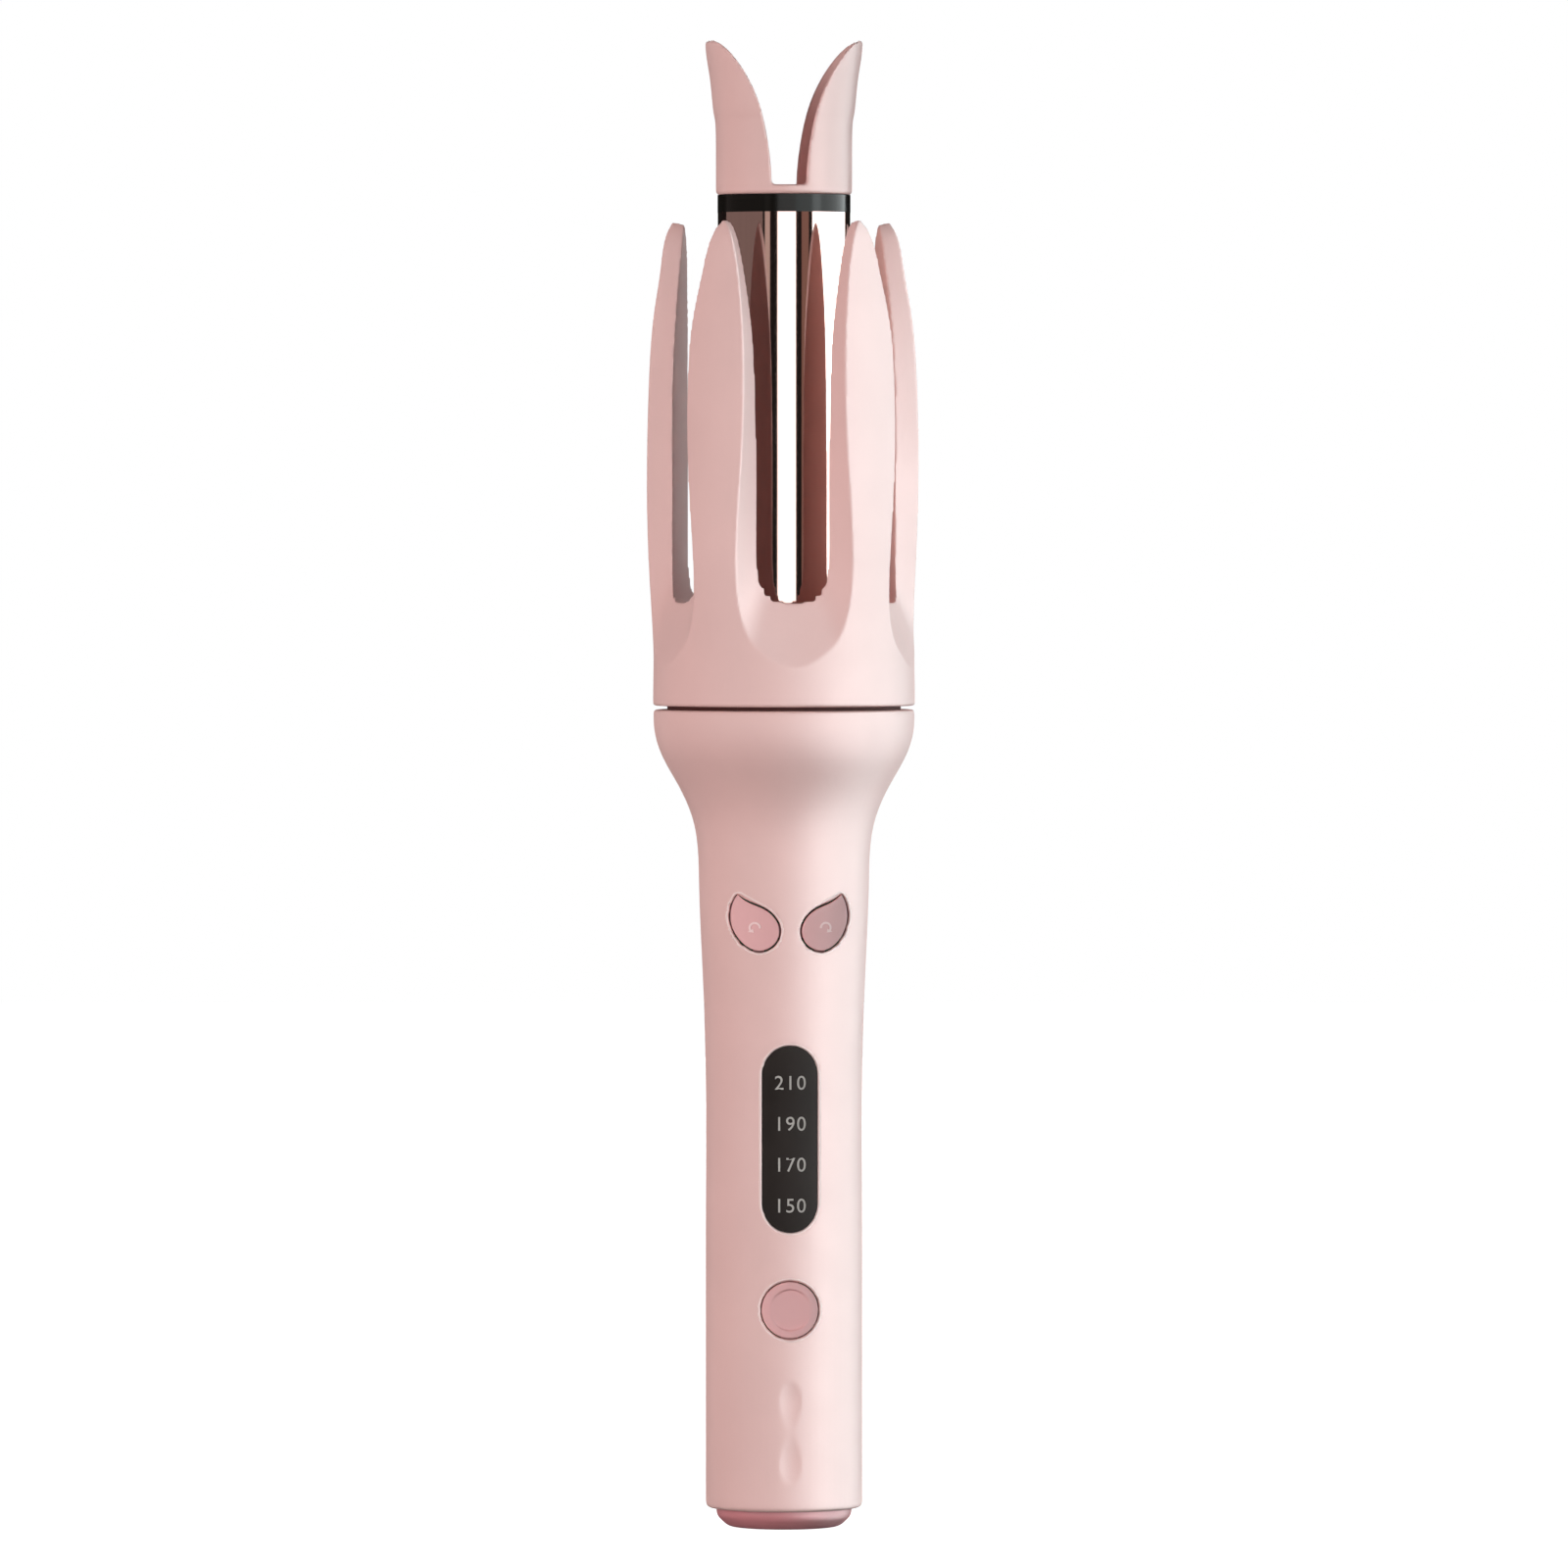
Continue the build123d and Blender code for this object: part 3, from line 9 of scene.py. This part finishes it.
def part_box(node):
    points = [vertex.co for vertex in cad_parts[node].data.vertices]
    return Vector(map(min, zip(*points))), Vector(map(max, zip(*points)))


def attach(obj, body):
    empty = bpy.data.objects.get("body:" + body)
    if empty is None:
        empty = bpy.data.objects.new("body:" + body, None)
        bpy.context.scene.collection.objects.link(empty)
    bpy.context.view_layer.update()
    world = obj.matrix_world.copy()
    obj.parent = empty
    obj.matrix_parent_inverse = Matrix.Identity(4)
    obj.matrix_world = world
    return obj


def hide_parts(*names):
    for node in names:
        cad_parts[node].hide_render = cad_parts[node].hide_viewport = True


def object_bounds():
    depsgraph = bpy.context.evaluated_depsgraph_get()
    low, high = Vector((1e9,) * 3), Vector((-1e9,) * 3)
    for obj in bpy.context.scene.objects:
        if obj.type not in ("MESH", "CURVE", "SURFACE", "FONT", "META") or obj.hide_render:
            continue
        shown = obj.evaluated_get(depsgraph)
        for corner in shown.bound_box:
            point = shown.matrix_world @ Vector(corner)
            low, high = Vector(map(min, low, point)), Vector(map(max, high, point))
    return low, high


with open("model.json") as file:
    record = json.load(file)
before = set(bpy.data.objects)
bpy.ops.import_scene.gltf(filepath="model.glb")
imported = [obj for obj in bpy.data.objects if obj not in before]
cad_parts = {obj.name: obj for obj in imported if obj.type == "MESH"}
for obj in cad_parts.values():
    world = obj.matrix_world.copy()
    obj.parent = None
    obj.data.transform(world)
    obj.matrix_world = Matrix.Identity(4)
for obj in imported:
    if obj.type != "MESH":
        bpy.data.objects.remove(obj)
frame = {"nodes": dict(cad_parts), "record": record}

MM = 0.001
CAD_LO, CAD_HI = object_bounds()
NODES = frame["nodes"]
BODY_OF = {node: body for body, nodes in frame["record"]["behaviour"]["bodies"].items() for node in nodes}
SLOT_OF = {part["node"]: part["material_slot"] for part in frame["record"]["subparts"]}


# ---------------------------------------------------------------- materials
def new_material(name):
    mat = bpy.data.materials.new(name)
    mat.use_nodes = True
    tree = mat.node_tree
    shader = tree.nodes["Principled BSDF"]
    coords = tree.nodes.new("ShaderNodeTexCoord").outputs["Object"]
    return mat, tree, shader, coords


def noise(tree, coords, per_metre, detail=3.0):
    node = tree.nodes.new("ShaderNodeTexNoise")
    node.inputs["Scale"].default_value = per_metre
    node.inputs["Detail"].default_value = detail
    tree.links.new(coords, node.inputs["Vector"])
    return node.outputs["Fac"]


def ramp(tree, value, stops):
    node = tree.nodes.new("ShaderNodeValToRGB")
    elements = node.color_ramp.elements
    while len(elements) < len(stops):
        elements.new(0.5)
    for element, (place, colour) in zip(elements, stops):
        element.position = place
        element.color = (*colour, 1.0)
    tree.links.new(value, node.inputs["Fac"])
    return node.outputs["Color"]


def spread(tree, value, low, high):
    node = tree.nodes.new("ShaderNodeMapRange")
    node.inputs["To Min"].default_value = low
    node.inputs["To Max"].default_value = high
    tree.links.new(value, node.inputs["Value"])
    return node.outputs["Result"]


def bump(tree, shader, value, depth):
    node = tree.nodes.new("ShaderNodeBump")
    node.inputs["Distance"].default_value = depth
    node.inputs["Strength"].default_value = 1.0
    tree.links.new(value, node.inputs["Height"])
    tree.links.new(node.outputs["Normal"], shader.inputs["Normal"])


def shade(colour, factor):
    return tuple(min(1.0, c * factor) for c in colour)


CLOUDS_PER_METRE = 45
GLOSS_PATCHES_PER_METRE = 160
GLOSS_SPREAD = 0.05
COAT_ROUGHNESS = 0.15
METAL_MARKS_PER_METRE = 900


def moulded(name, colour, roughness, grain=2600, depth=0.00001, variation=0.03, coat=0.0, specular=0.5):
    """Moulded plastic: slightly cloudy colour, uneven gloss and a fine spark-eroded grain."""
    mat, tree, shader, coords = new_material(name)
    stops = [(0.3, shade(colour, 1 - variation)), (0.7, shade(colour, 1 + variation))]
    tree.links.new(ramp(tree, noise(tree, coords, CLOUDS_PER_METRE), stops), shader.inputs["Base Color"])
    gloss = noise(tree, coords, GLOSS_PATCHES_PER_METRE)
    tree.links.new(spread(tree, gloss, roughness - GLOSS_SPREAD, roughness + GLOSS_SPREAD),
                   shader.inputs["Roughness"])
    shader.inputs["Coat Weight"].default_value = coat
    shader.inputs["Coat Roughness"].default_value = COAT_ROUGHNESS
    shader.inputs["Specular IOR Level"].default_value = specular
    bump(tree, shader, noise(tree, coords, grain, 2.0), depth)
    return mat


def metal(name, colour, roughness, stretch=(1, 1, 1), depth=0.000002):
    """Metal with fine drawn or turned marks: the noise is stretched along one axis."""
    mat, tree, shader, coords = new_material(name)
    shader.inputs["Metallic"].default_value = 1.0
    mapping = tree.nodes.new("ShaderNodeMapping")
    mapping.inputs["Scale"].default_value = stretch
    tree.links.new(coords, mapping.inputs["Vector"])
    marks = noise(tree, mapping.outputs["Vector"], METAL_MARKS_PER_METRE)
    tree.links.new(ramp(tree, marks, [(0.3, shade(colour, 0.97)), (0.7, shade(colour, 1.02))]),
                   shader.inputs["Base Color"])
    tree.links.new(spread(tree, marks, roughness * 0.8, roughness * 1.2), shader.inputs["Roughness"])
    bump(tree, shader, marks, depth)
    return mat


def board_material(name, colour):
    """Solder mask over copper tracks: thin lighter lines on two square grids."""
    mat, tree, shader, coords = new_material(name)
    tracks = tree.nodes.new("ShaderNodeTexBrick")
    tracks.inputs["Scale"].default_value = 260
    tracks.inputs["Mortar Size"].default_value = 0.03
    tracks.inputs["Color1"].default_value = (*colour, 1)
    tracks.inputs["Color2"].default_value = (*shade(colour, 0.85), 1)
    tracks.inputs["Mortar"].default_value = (*shade(colour, 1.6), 1)
    tree.links.new(coords, tracks.inputs["Vector"])
    tree.links.new(tracks.outputs["Color"], shader.inputs["Base Color"])
    tree.links.new(spread(tree, noise(tree, coords, 500), 0.25, 0.4), shader.inputs["Roughness"])
    return mat


PINK = (0.78, 0.47, 0.44)
PINK_DEEP = (0.56, 0.20, 0.215)
ROSE = (0.82, 0.44, 0.44)
BLACK = (0.007, 0.006, 0.005)
LENS = (0.026, 0.020, 0.018)

MATERIALS = {
    "body_shell": moulded("pink_matt_shell", PINK, 0.55, specular=0.8),
    "crown_shell": moulded("pink_matt_crown", PINK, 0.55, specular=0.8),
    "ear_shell": moulded("pink_satin_ears", PINK, 0.44, grain=3200, depth=0.000006),
    "cap_shell": moulded("pink_end_cap", PINK_DEEP, 0.45),
    "button_pink": moulded("rose_satin_buttons", ROSE, 0.40, grain=1500, depth=0.000003, specular=0.12),
    "window_black": moulded("smoked_lens", LENS, 0.35, grain=1200, depth=0.000002, variation=0.3,
                            specular=0.04),
    "band_black": moulded("black_band", BLACK, 0.16, variation=0.2, specular=0.1),
    "barrel_metal": metal("rose_barrel", (0.44, 0.31, 0.28), 0.07, stretch=(1, 1, 0.02)),
    "chassis_plastic": moulded("glass_filled_nylon", (0.10, 0.035, 0.03), 0.6, variation=0.15, specular=0.1),
    "frame_plastic": moulded("natural_abs", (0.62, 0.61, 0.57), 0.5),
    "pcb": board_material("green_board", (0.02, 0.16, 0.07)),
    "switch_black": moulded("switch_plastic", (0.03, 0.03, 0.03), 0.5, variation=0.2),
    "led_white": moulded("led_lens", (0.85, 0.84, 0.78), 0.3),
    "steel": metal("zinc_steel", (0.60, 0.60, 0.62), 0.32, stretch=(1, 1, 0.2)),
    "nickel": metal("nickel_strip", (0.66, 0.64, 0.60), 0.28, stretch=(0.1, 1, 1)),
    "brass_gear": metal("brass_plates", (0.72, 0.53, 0.24), 0.30, stretch=(1, 0.2, 1)),
    "gear_nylon": moulded("acetal_gear", (0.80, 0.79, 0.74), 0.38),
    "bush_ptfe": moulded("ptfe_bush", (0.86, 0.86, 0.83), 0.35),
    "cell_wrap": moulded("cell_wrap", (0.05, 0.17, 0.42), 0.28, coat=0.3),
    "spreader_aluminium": metal("extruded_aluminium", (0.72, 0.72, 0.73), 0.35, stretch=(1, 1, 0.05)),
    "heater_ceramic": moulded("alumina", (0.80, 0.78, 0.72), 0.6, variation=0.06),
    "wire_silicone": moulded("silicone_lead", (0.48, 0.03, 0.02), 0.42),
    "plug_rubber": moulded("pink_rubber_plug", shade(PINK, 0.97), 0.6),
}
DIGIT_PRINT = moulded("grey_print", (0.52, 0.49, 0.46), 0.6, variation=0.08, specular=0.05)
ICON_PRINT = moulded("pale_icon", (0.95, 0.66, 0.65), 0.45, specular=0.2)


def paint(obj, material):
    obj.data.materials.clear()
    obj.data.materials.append(material)


for node_name, node_object in NODES.items():
    for material_slot in node_object.material_slots:
        material_slot.material = MATERIALS[SLOT_OF[node_name]]


# ---------------------------------------------------------------- meshes
def place(obj, node):
    """Let a piece ride where a node rides."""
    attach(obj, BODY_OF[node])


def new_piece(name, shape):
    """An object in the scene from a finished bmesh, which is freed."""
    mesh = bpy.data.meshes.new(name)
    shape.to_mesh(mesh)
    shape.free()
    obj = bpy.data.objects.new(name, mesh)
    bpy.context.scene.collection.objects.link(obj)
    return obj


def apply_modifiers(obj):
    bpy.context.view_layer.update()
    graph = bpy.context.evaluated_depsgraph_get()
    mesh = bpy.data.meshes.new_from_object(obj.evaluated_get(graph))
    obj.modifiers.clear()
    old = obj.data
    obj.data = mesh
    bpy.data.meshes.remove(old)


def rounded_copy(node, name, voxel_mm, passes):
    """A moulded version of a node: remeshed finely, with every sharp edge rounded off."""
    source = NODES[node]
    mesh = source.data.copy()
    mesh.transform(source.matrix_world)
    obj = bpy.data.objects.new(name, mesh)
    bpy.context.scene.collection.objects.link(obj)
    remesh = obj.modifiers.new("remesh", "REMESH")
    remesh.mode = "VOXEL"
    remesh.voxel_size = voxel_mm * MM
    remesh.use_smooth_shade = True
    smooth = obj.modifiers.new("smooth", "SMOOTH")
    smooth.factor = 0.5
    smooth.iterations = passes
    apply_modifiers(obj)
    for polygon in obj.data.polygons:
        polygon.use_smooth = True
    paint(obj, MATERIALS[SLOT_OF[node]])
    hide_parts(node)
    place(obj, node)
    return obj


rounded_copy("petal_crown", "moulded_crown", 0.32, 4)
rounded_copy("ear_cap", "moulded_ears", 0.35, 8)
front_shell = rounded_copy("handle_front_shell", "moulded_front_shell", 0.40, 5)
rounded_copy("handle_rear_shell", "moulded_rear_shell", 0.45, 5)
rounded_copy("power_button", "moulded_power_button", 0.16, 5)
rounded_copy("reverse_button", "moulded_reverse_button", 0.16, 6)
rounded_copy("forward_button", "moulded_forward_button", 0.16, 6)

# ---------------------------------------------------------------- rolled lips round the front openings, coloured paler than the shell as a painted highlight
LIP_RADIUS = 0.34 * MM
LIP_PROUD = 0.10 * MM
LIP_POINTS = 120
LIP_SIDES = 10
WINDOW_LIP_GAP = 0.42 * MM
BUTTON_LIP_GAP = 0.60 * MM
SKIN_RADIUS = 16.3 * MM           # only what lies outside this counts for the outline
# the lip colour is paler than the shell pink: a painted highlight along the rims of the window and the
# buttons
LIP_PAINTED_HIGHLIGHT = moulded("lip_painted_highlight", (0.90, 0.66, 0.63), 0.35, specular=0.5)


def even_outline(node):
    """Evenly spaced points in x and z round the front of a node, slightly smoothed."""
    corners = (NODES[node].matrix_world @ v.co for v in NODES[node].data.vertices)
    flat = [Vector((p.x, p.z)) for p in corners if p.y < 0 and math.hypot(p.x, p.y) > SKIN_RADIUS]
    hull = [flat[k] for k in geometry.convex_hull_2d(flat)]
    lengths = [(hull[k] - hull[k - 1]).length for k in range(len(hull))]
    step = sum(lengths) / LIP_POINTS
    line, travelled, next_stop = [], 0.0, 0.0
    for k, length in enumerate(lengths):
        while next_stop < travelled + length and len(line) < LIP_POINTS:
            line.append(hull[k - 1].lerp(hull[k], (next_stop - travelled) / length))
            next_stop += step
        travelled += length
    for _ in range(3):
        line = [(line[k - 1] + 2 * line[k] + line[(k + 1) % LIP_POINTS]) / 4 for k in range(LIP_POINTS)]
    return line


def path_on_shell(line, gap):
    """Points just under the shell's surface, outside a flat outline by a gap, with the surface normals."""
    middle = sum(line, Vector((0, 0))) / LIP_POINTS
    path = []
    for k in range(LIP_POINTS):
        along = (line[(k + 1) % LIP_POINTS] - line[k - 1]).normalized()
        outward = Vector((along.y, -along.x))
        if outward.dot(line[k] - middle) < 0:
            outward = -outward
        spot = line[k] + outward * gap
        _, where, normal, _ = front_shell.ray_cast(Vector((spot.x, -1, spot.y)), Vector((0, 1, 0)))
        path.append((where - normal * (LIP_RADIUS - LIP_PROUD), normal))
    return path


def lip(node, gap):
    """A thin rounded bead on the shell that follows the outline of a node at a small distance, coloured
    paler than the shell as a painted highlight.
    """
    path = path_on_shell(even_outline(node), gap)
    bead = bmesh.new()
    rings = []
    for k in range(LIP_POINTS):
        centre, normal = path[k]
        along = (path[(k + 1) % LIP_POINTS][0] - path[k - 1][0]).normalized()
        across = along.cross(normal).normalized()
        turns = (2 * math.pi * j / LIP_SIDES for j in range(LIP_SIDES))
        rings.append([bead.verts.new(centre + LIP_RADIUS * (math.cos(a) * normal + math.sin(a) * across))
                      for a in turns])
    for k in range(LIP_POINTS):
        for j in range(LIP_SIDES):
            bead.faces.new((rings[k - 1][j - 1], rings[k - 1][j], rings[k][j], rings[k][j - 1]))
    bmesh.ops.recalc_face_normals(bead, faces=bead.faces)
    obj = new_piece(node + "_lip", bead)
    for polygon in obj.data.polygons:
        polygon.use_smooth = True
    paint(obj, LIP_PAINTED_HIGHLIGHT)
    place(obj, "handle_front_shell")


lip("display_window", WINDOW_LIP_GAP)
for button in ("power_button", "reverse_button", "forward_button"):
    lip(button, BUTTON_LIP_GAP)

# ---------------------------------------------------------------- printed digits on the window
window_lo, window_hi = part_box("display_window")
LENS_R = -window_lo[1]
LENS_MID_Z = (window_lo[2] + window_hi[2]) / 2
ROW_STEP = 8.63 * MM
DIGIT_HEIGHT = 3.2 * MM
PRINT_THICKNESS = 0.04 * MM
FIGURE_SHARE = 0.76              # height of a figure as a share of the font size
FIGURE_SPACING = 1.12
MIDDLE_ROW = 1.5
ROWS_DOWN = 1.2 * MM             # the four rows sit a little below the middle of the window


def wrap_round(mesh, radius):
    """Bend a flat mesh that lies in x and z round the handle axis, its y as the height above radius."""
    for vertex in mesh.vertices:
        x, y, z = vertex.co
        angle = x / radius
        out = radius - y
        vertex.co = (out * math.sin(angle), -out * math.cos(angle), z)


def printed_number(text, centre_z):
    curve = bpy.data.curves.new("digits", "FONT")
    curve.body = text
    curve.align_x = "CENTER"
    curve.align_y = "CENTER"
    curve.size = DIGIT_HEIGHT / FIGURE_SHARE
    curve.space_character = FIGURE_SPACING
    curve.extrude = PRINT_THICKNESS / 2
    flat = bpy.data.objects.new("flat_digits", curve)
    mesh = bpy.data.meshes.new_from_object(flat)
    bpy.data.objects.remove(flat)
    mesh.transform(Matrix.Rotation(math.radians(90), 4, "X"))
    wrap_round(mesh, LENS_R)
    mesh.transform(Matrix.Translation((0, 0, centre_z)))
    obj = bpy.data.objects.new("temperature_" + text, mesh)
    bpy.context.scene.collection.objects.link(obj)
    paint(obj, DIGIT_PRINT)
    place(obj, "display_window")


for row, text in enumerate(("150", "170", "190", "210")):
    printed_number(text, LENS_MID_Z + (row - MIDDLE_ROW) * ROW_STEP - ROWS_DOWN)

# ---------------------------------------------------------------- arrows on the two leaf buttons
LEAF_RADII = ((121.0 * MM, 17.4 * MM), (135.5 * MM, 18.2 * MM))    # height and radius of the leaf surface
ARROW_RADIUS = 1.05 * MM
ARROW_STROKE = 0.42 * MM
ARROW_THICKNESS = 0.05 * MM
ARROW_START = math.radians(-95)
ARROW_SWEEP = math.radians(215)
ARROW_HEAD = math.radians(48)
ARROW_STEPS = 24
ARROW_OUT = 0.6 * MM              # from the middle of the button, away from the axis and down
ARROW_DOWN = 0.4 * MM


def leaf_surface(x, z):
    """The point of a leaf button's surface in front of x, z."""
    (low_z, low_r), (high_z, high_r) = LEAF_RADII
    radius = low_r + (high_r - low_r) * (z - low_z) / (high_z - low_z)
    return Vector((x, -math.sqrt(radius ** 2 - x ** 2), z))


def turn_arrow(button, side):
    """A small curved arrow: a thin raised ribbon that follows the button, mirrored by its side."""
    lo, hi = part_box(button)
    middle_x = (lo[0] + hi[0]) / 2 + side * ARROW_OUT
    middle_z = (lo[2] + hi[2]) / 2 - ARROW_DOWN
    shape = bmesh.new()

    def vert(radius, angle):
        x = middle_x + side * radius * math.sin(angle)
        z = middle_z + radius * math.cos(angle)
        return shape.verts.new(leaf_surface(x, z) + Vector((0, -ARROW_THICKNESS, 0)))

    inner, outer = ARROW_RADIUS - ARROW_STROKE / 2, ARROW_RADIUS + ARROW_STROKE / 2
    angles = [ARROW_START + ARROW_SWEEP * k / ARROW_STEPS for k in range(ARROW_STEPS + 1)]
    rows = [(vert(inner, angle), vert(outer, angle)) for angle in angles]
    for (a, b), (c, d) in zip(rows, rows[1:]):
        shape.faces.new((a, b, d, c))
    end = ARROW_START + ARROW_SWEEP
    wing = 1.5 * ARROW_STROKE
    shape.faces.new([vert(ARROW_RADIUS - wing, end), vert(ARROW_RADIUS + wing, end),
                     vert(ARROW_RADIUS, end + ARROW_HEAD)])
    bmesh.ops.recalc_face_normals(shape, faces=shape.faces)
    bmesh.ops.solidify(shape, geom=shape.faces[:], thickness=-2 * ARROW_THICKNESS)
    bmesh.ops.recalc_face_normals(shape, faces=shape.faces)
    obj = new_piece(button + "_arrow", shape)
    paint(obj, ICON_PRINT)
    place(obj, button)


turn_arrow("reverse_button", -1)
turn_arrow("forward_button", 1)

# ---------------------------------------------------------------- stage, light and camera
HEIGHT = CAD_HI[2] - CAD_LO[2]
CAMERA_DISTANCE = 2.8
CAMERA_AZIMUTH = math.radians(-4.7)
CAMERA_HEIGHT = 0.215
FRAME_SHARE = 0.9475            # part of the frame's height that the object fills
SENSOR_MM = 36
ROOM_COLOUR = (0.02, 0.017, 0.016)
FLOOR_RADIUS = 3.0
FLOOR_GLOW = 0.97
FLOOR_DROP = 0.2 * MM


def make_camera():
    camera = bpy.data.cameras.new("camera")
    obj = bpy.data.objects.new("camera", camera)
    bpy.context.scene.collection.objects.link(obj)
    target = Vector((0, 0, HEIGHT / 2))
    obj.location = (CAMERA_DISTANCE * math.sin(CAMERA_AZIMUTH), -CAMERA_DISTANCE * math.cos(CAMERA_AZIMUTH),
                    CAMERA_HEIGHT)
    obj.rotation_euler = (target - obj.location).to_track_quat("-Z", "Y").to_euler()
    camera.sensor_width = SENSOR_MM
    reach = (target - obj.location).length
    camera.lens = SENSOR_MM * reach / (HEIGHT / FRAME_SHARE)
    camera.clip_start, camera.clip_end = 0.1, 50
    bpy.context.scene.camera = obj


def softbox(name, azimuth, radiance, height_m, colour=(1, 1, 1), distance=2.4, centre_z=0.25, glossy=True,
            diffuse=True, but_not=None):
    """An upright bank of light of a given radiance between two azimuths, degrees from -Y towards +X.
    A node named in but_not is lit by every bank but this one.
    """
    start, end = azimuth
    width = 2 * distance * math.tan(math.radians(end - start) / 2)
    middle = math.radians((start + end) / 2)
    light = bpy.data.lights.new(name, "AREA")
    light.shape = "RECTANGLE"
    light.size, light.size_y = width, height_m
    light.energy = radiance * math.pi * width * height_m
    light.color = colour
    obj = bpy.data.objects.new(name, light)
    bpy.context.scene.collection.objects.link(obj)
    obj.location = (distance * math.sin(middle), -distance * math.cos(middle), centre_z)
    obj.rotation_euler = (math.radians(90), 0, middle)
    obj.visible_camera = False
    obj.visible_glossy = glossy
    obj.visible_diffuse = diffuse
    if but_not:
        left_out = bpy.data.collections.new(name + "_linking")
        left_out.objects.link(NODES[but_not])
        obj.light_linking.receiver_collection = left_out
        left_out.collection_objects[0].light_linking.link_state = "EXCLUDE"


def ceiling(radiance, size_m, height_m):
    light = bpy.data.lights.new("ceiling", "AREA")
    light.shape = "SQUARE"
    light.size = size_m
    light.energy = radiance * math.pi * size_m ** 2
    obj = bpy.data.objects.new("ceiling", light)
    bpy.context.scene.collection.objects.link(obj)
    obj.location = (0, 0, height_m)
    obj.visible_camera = False
    obj.visible_glossy = False


def make_world():
    """A dim even room for the object, and plain white behind it."""
    world = bpy.data.worlds.new("studio")
    bpy.context.scene.world = world
    world.use_nodes = True
    tree = world.node_tree
    tree.nodes.clear()
    room = tree.nodes.new("ShaderNodeBackground")
    room.inputs["Color"].default_value = (*ROOM_COLOUR, 1)
    backdrop = tree.nodes.new("ShaderNodeBackground")
    backdrop.inputs["Color"].default_value = (1, 1, 1, 1)
    ray = tree.nodes.new("ShaderNodeLightPath")
    mix = tree.nodes.new("ShaderNodeMixShader")
    tree.links.new(ray.outputs["Is Camera Ray"], mix.inputs["Fac"])
    tree.links.new(room.outputs[0], mix.inputs[1])
    tree.links.new(backdrop.outputs[0], mix.inputs[2])
    out = tree.nodes.new("ShaderNodeOutputWorld")
    tree.links.new(mix.outputs[0], out.inputs["Surface"])


def make_floor():
    """A white floor that glows, as pale as the backdrop, and neither lights nor shades the object."""
    shape = bmesh.new()
    bmesh.ops.create_circle(shape, cap_ends=True, segments=96, radius=FLOOR_RADIUS)
    floor = new_piece("floor", shape)
    floor.location.z = -FLOOR_DROP
    white = moulded("pale_floor", (0.93, 0.93, 0.93), 0.9, grain=300, depth=0.00002, variation=0.01)
    shader = white.node_tree.nodes["Principled BSDF"]
    shader.inputs["Emission Color"].default_value = (1, 1, 1, 1)
    shader.inputs["Emission Strength"].default_value = FLOOR_GLOW
    paint(floor, white)
    floor.visible_diffuse = False
    floor.visible_glossy = False
    floor.visible_shadow = False


make_camera()
make_world()
make_floor()
# broad light for the colour of the plastic: from the left, in front, behind, above and a little right
softbox("left_bank", (-80, -26), 3.5, 1.8, (1, 0.99, 0.985), glossy=False)
softbox("front_fill", (-60, 60), 0.30, 2.4, glossy=False)
softbox("back_bank", (120, 236), 2.0, 1.8, glossy=False)
softbox("right_fill", (20, 80), 0.75, 2.0, (0.92, 0.99, 1), glossy=False)
ceiling(0.25, 2.4, 1.6)
# banks that only show as gloss.  The barrel mirrors those at its own height: a white strip in front,
# thin lines beside it and bright walls further round.  The corner bank only reaches the plastic.
softbox("front_strip", (-16, 16), 3.9, 1.6, distance=3.2, diffuse=False)
softbox("left_line", (-38, -29), 0.9, 1.6, (1, 0.85, 0.78), diffuse=False)
softbox("right_card", (26, 39), 0.4, 1.6, (1, 0.62, 0.5), diffuse=False)
softbox("left_wall", (-125, -42), 0.36, 1.8, (1, 0.80, 0.76), distance=1.6, diffuse=False)
softbox("right_corner", (16, 62), 5.7, 5.0, (0.90, 0.99, 1), diffuse=False, but_not="barrel_tube")
softbox("right_wall", (46, 128), 7.0, 4.0, (0.93, 1, 1), distance=1.8, diffuse=False)

bpy.context.scene.view_settings.view_transform = "Standard"
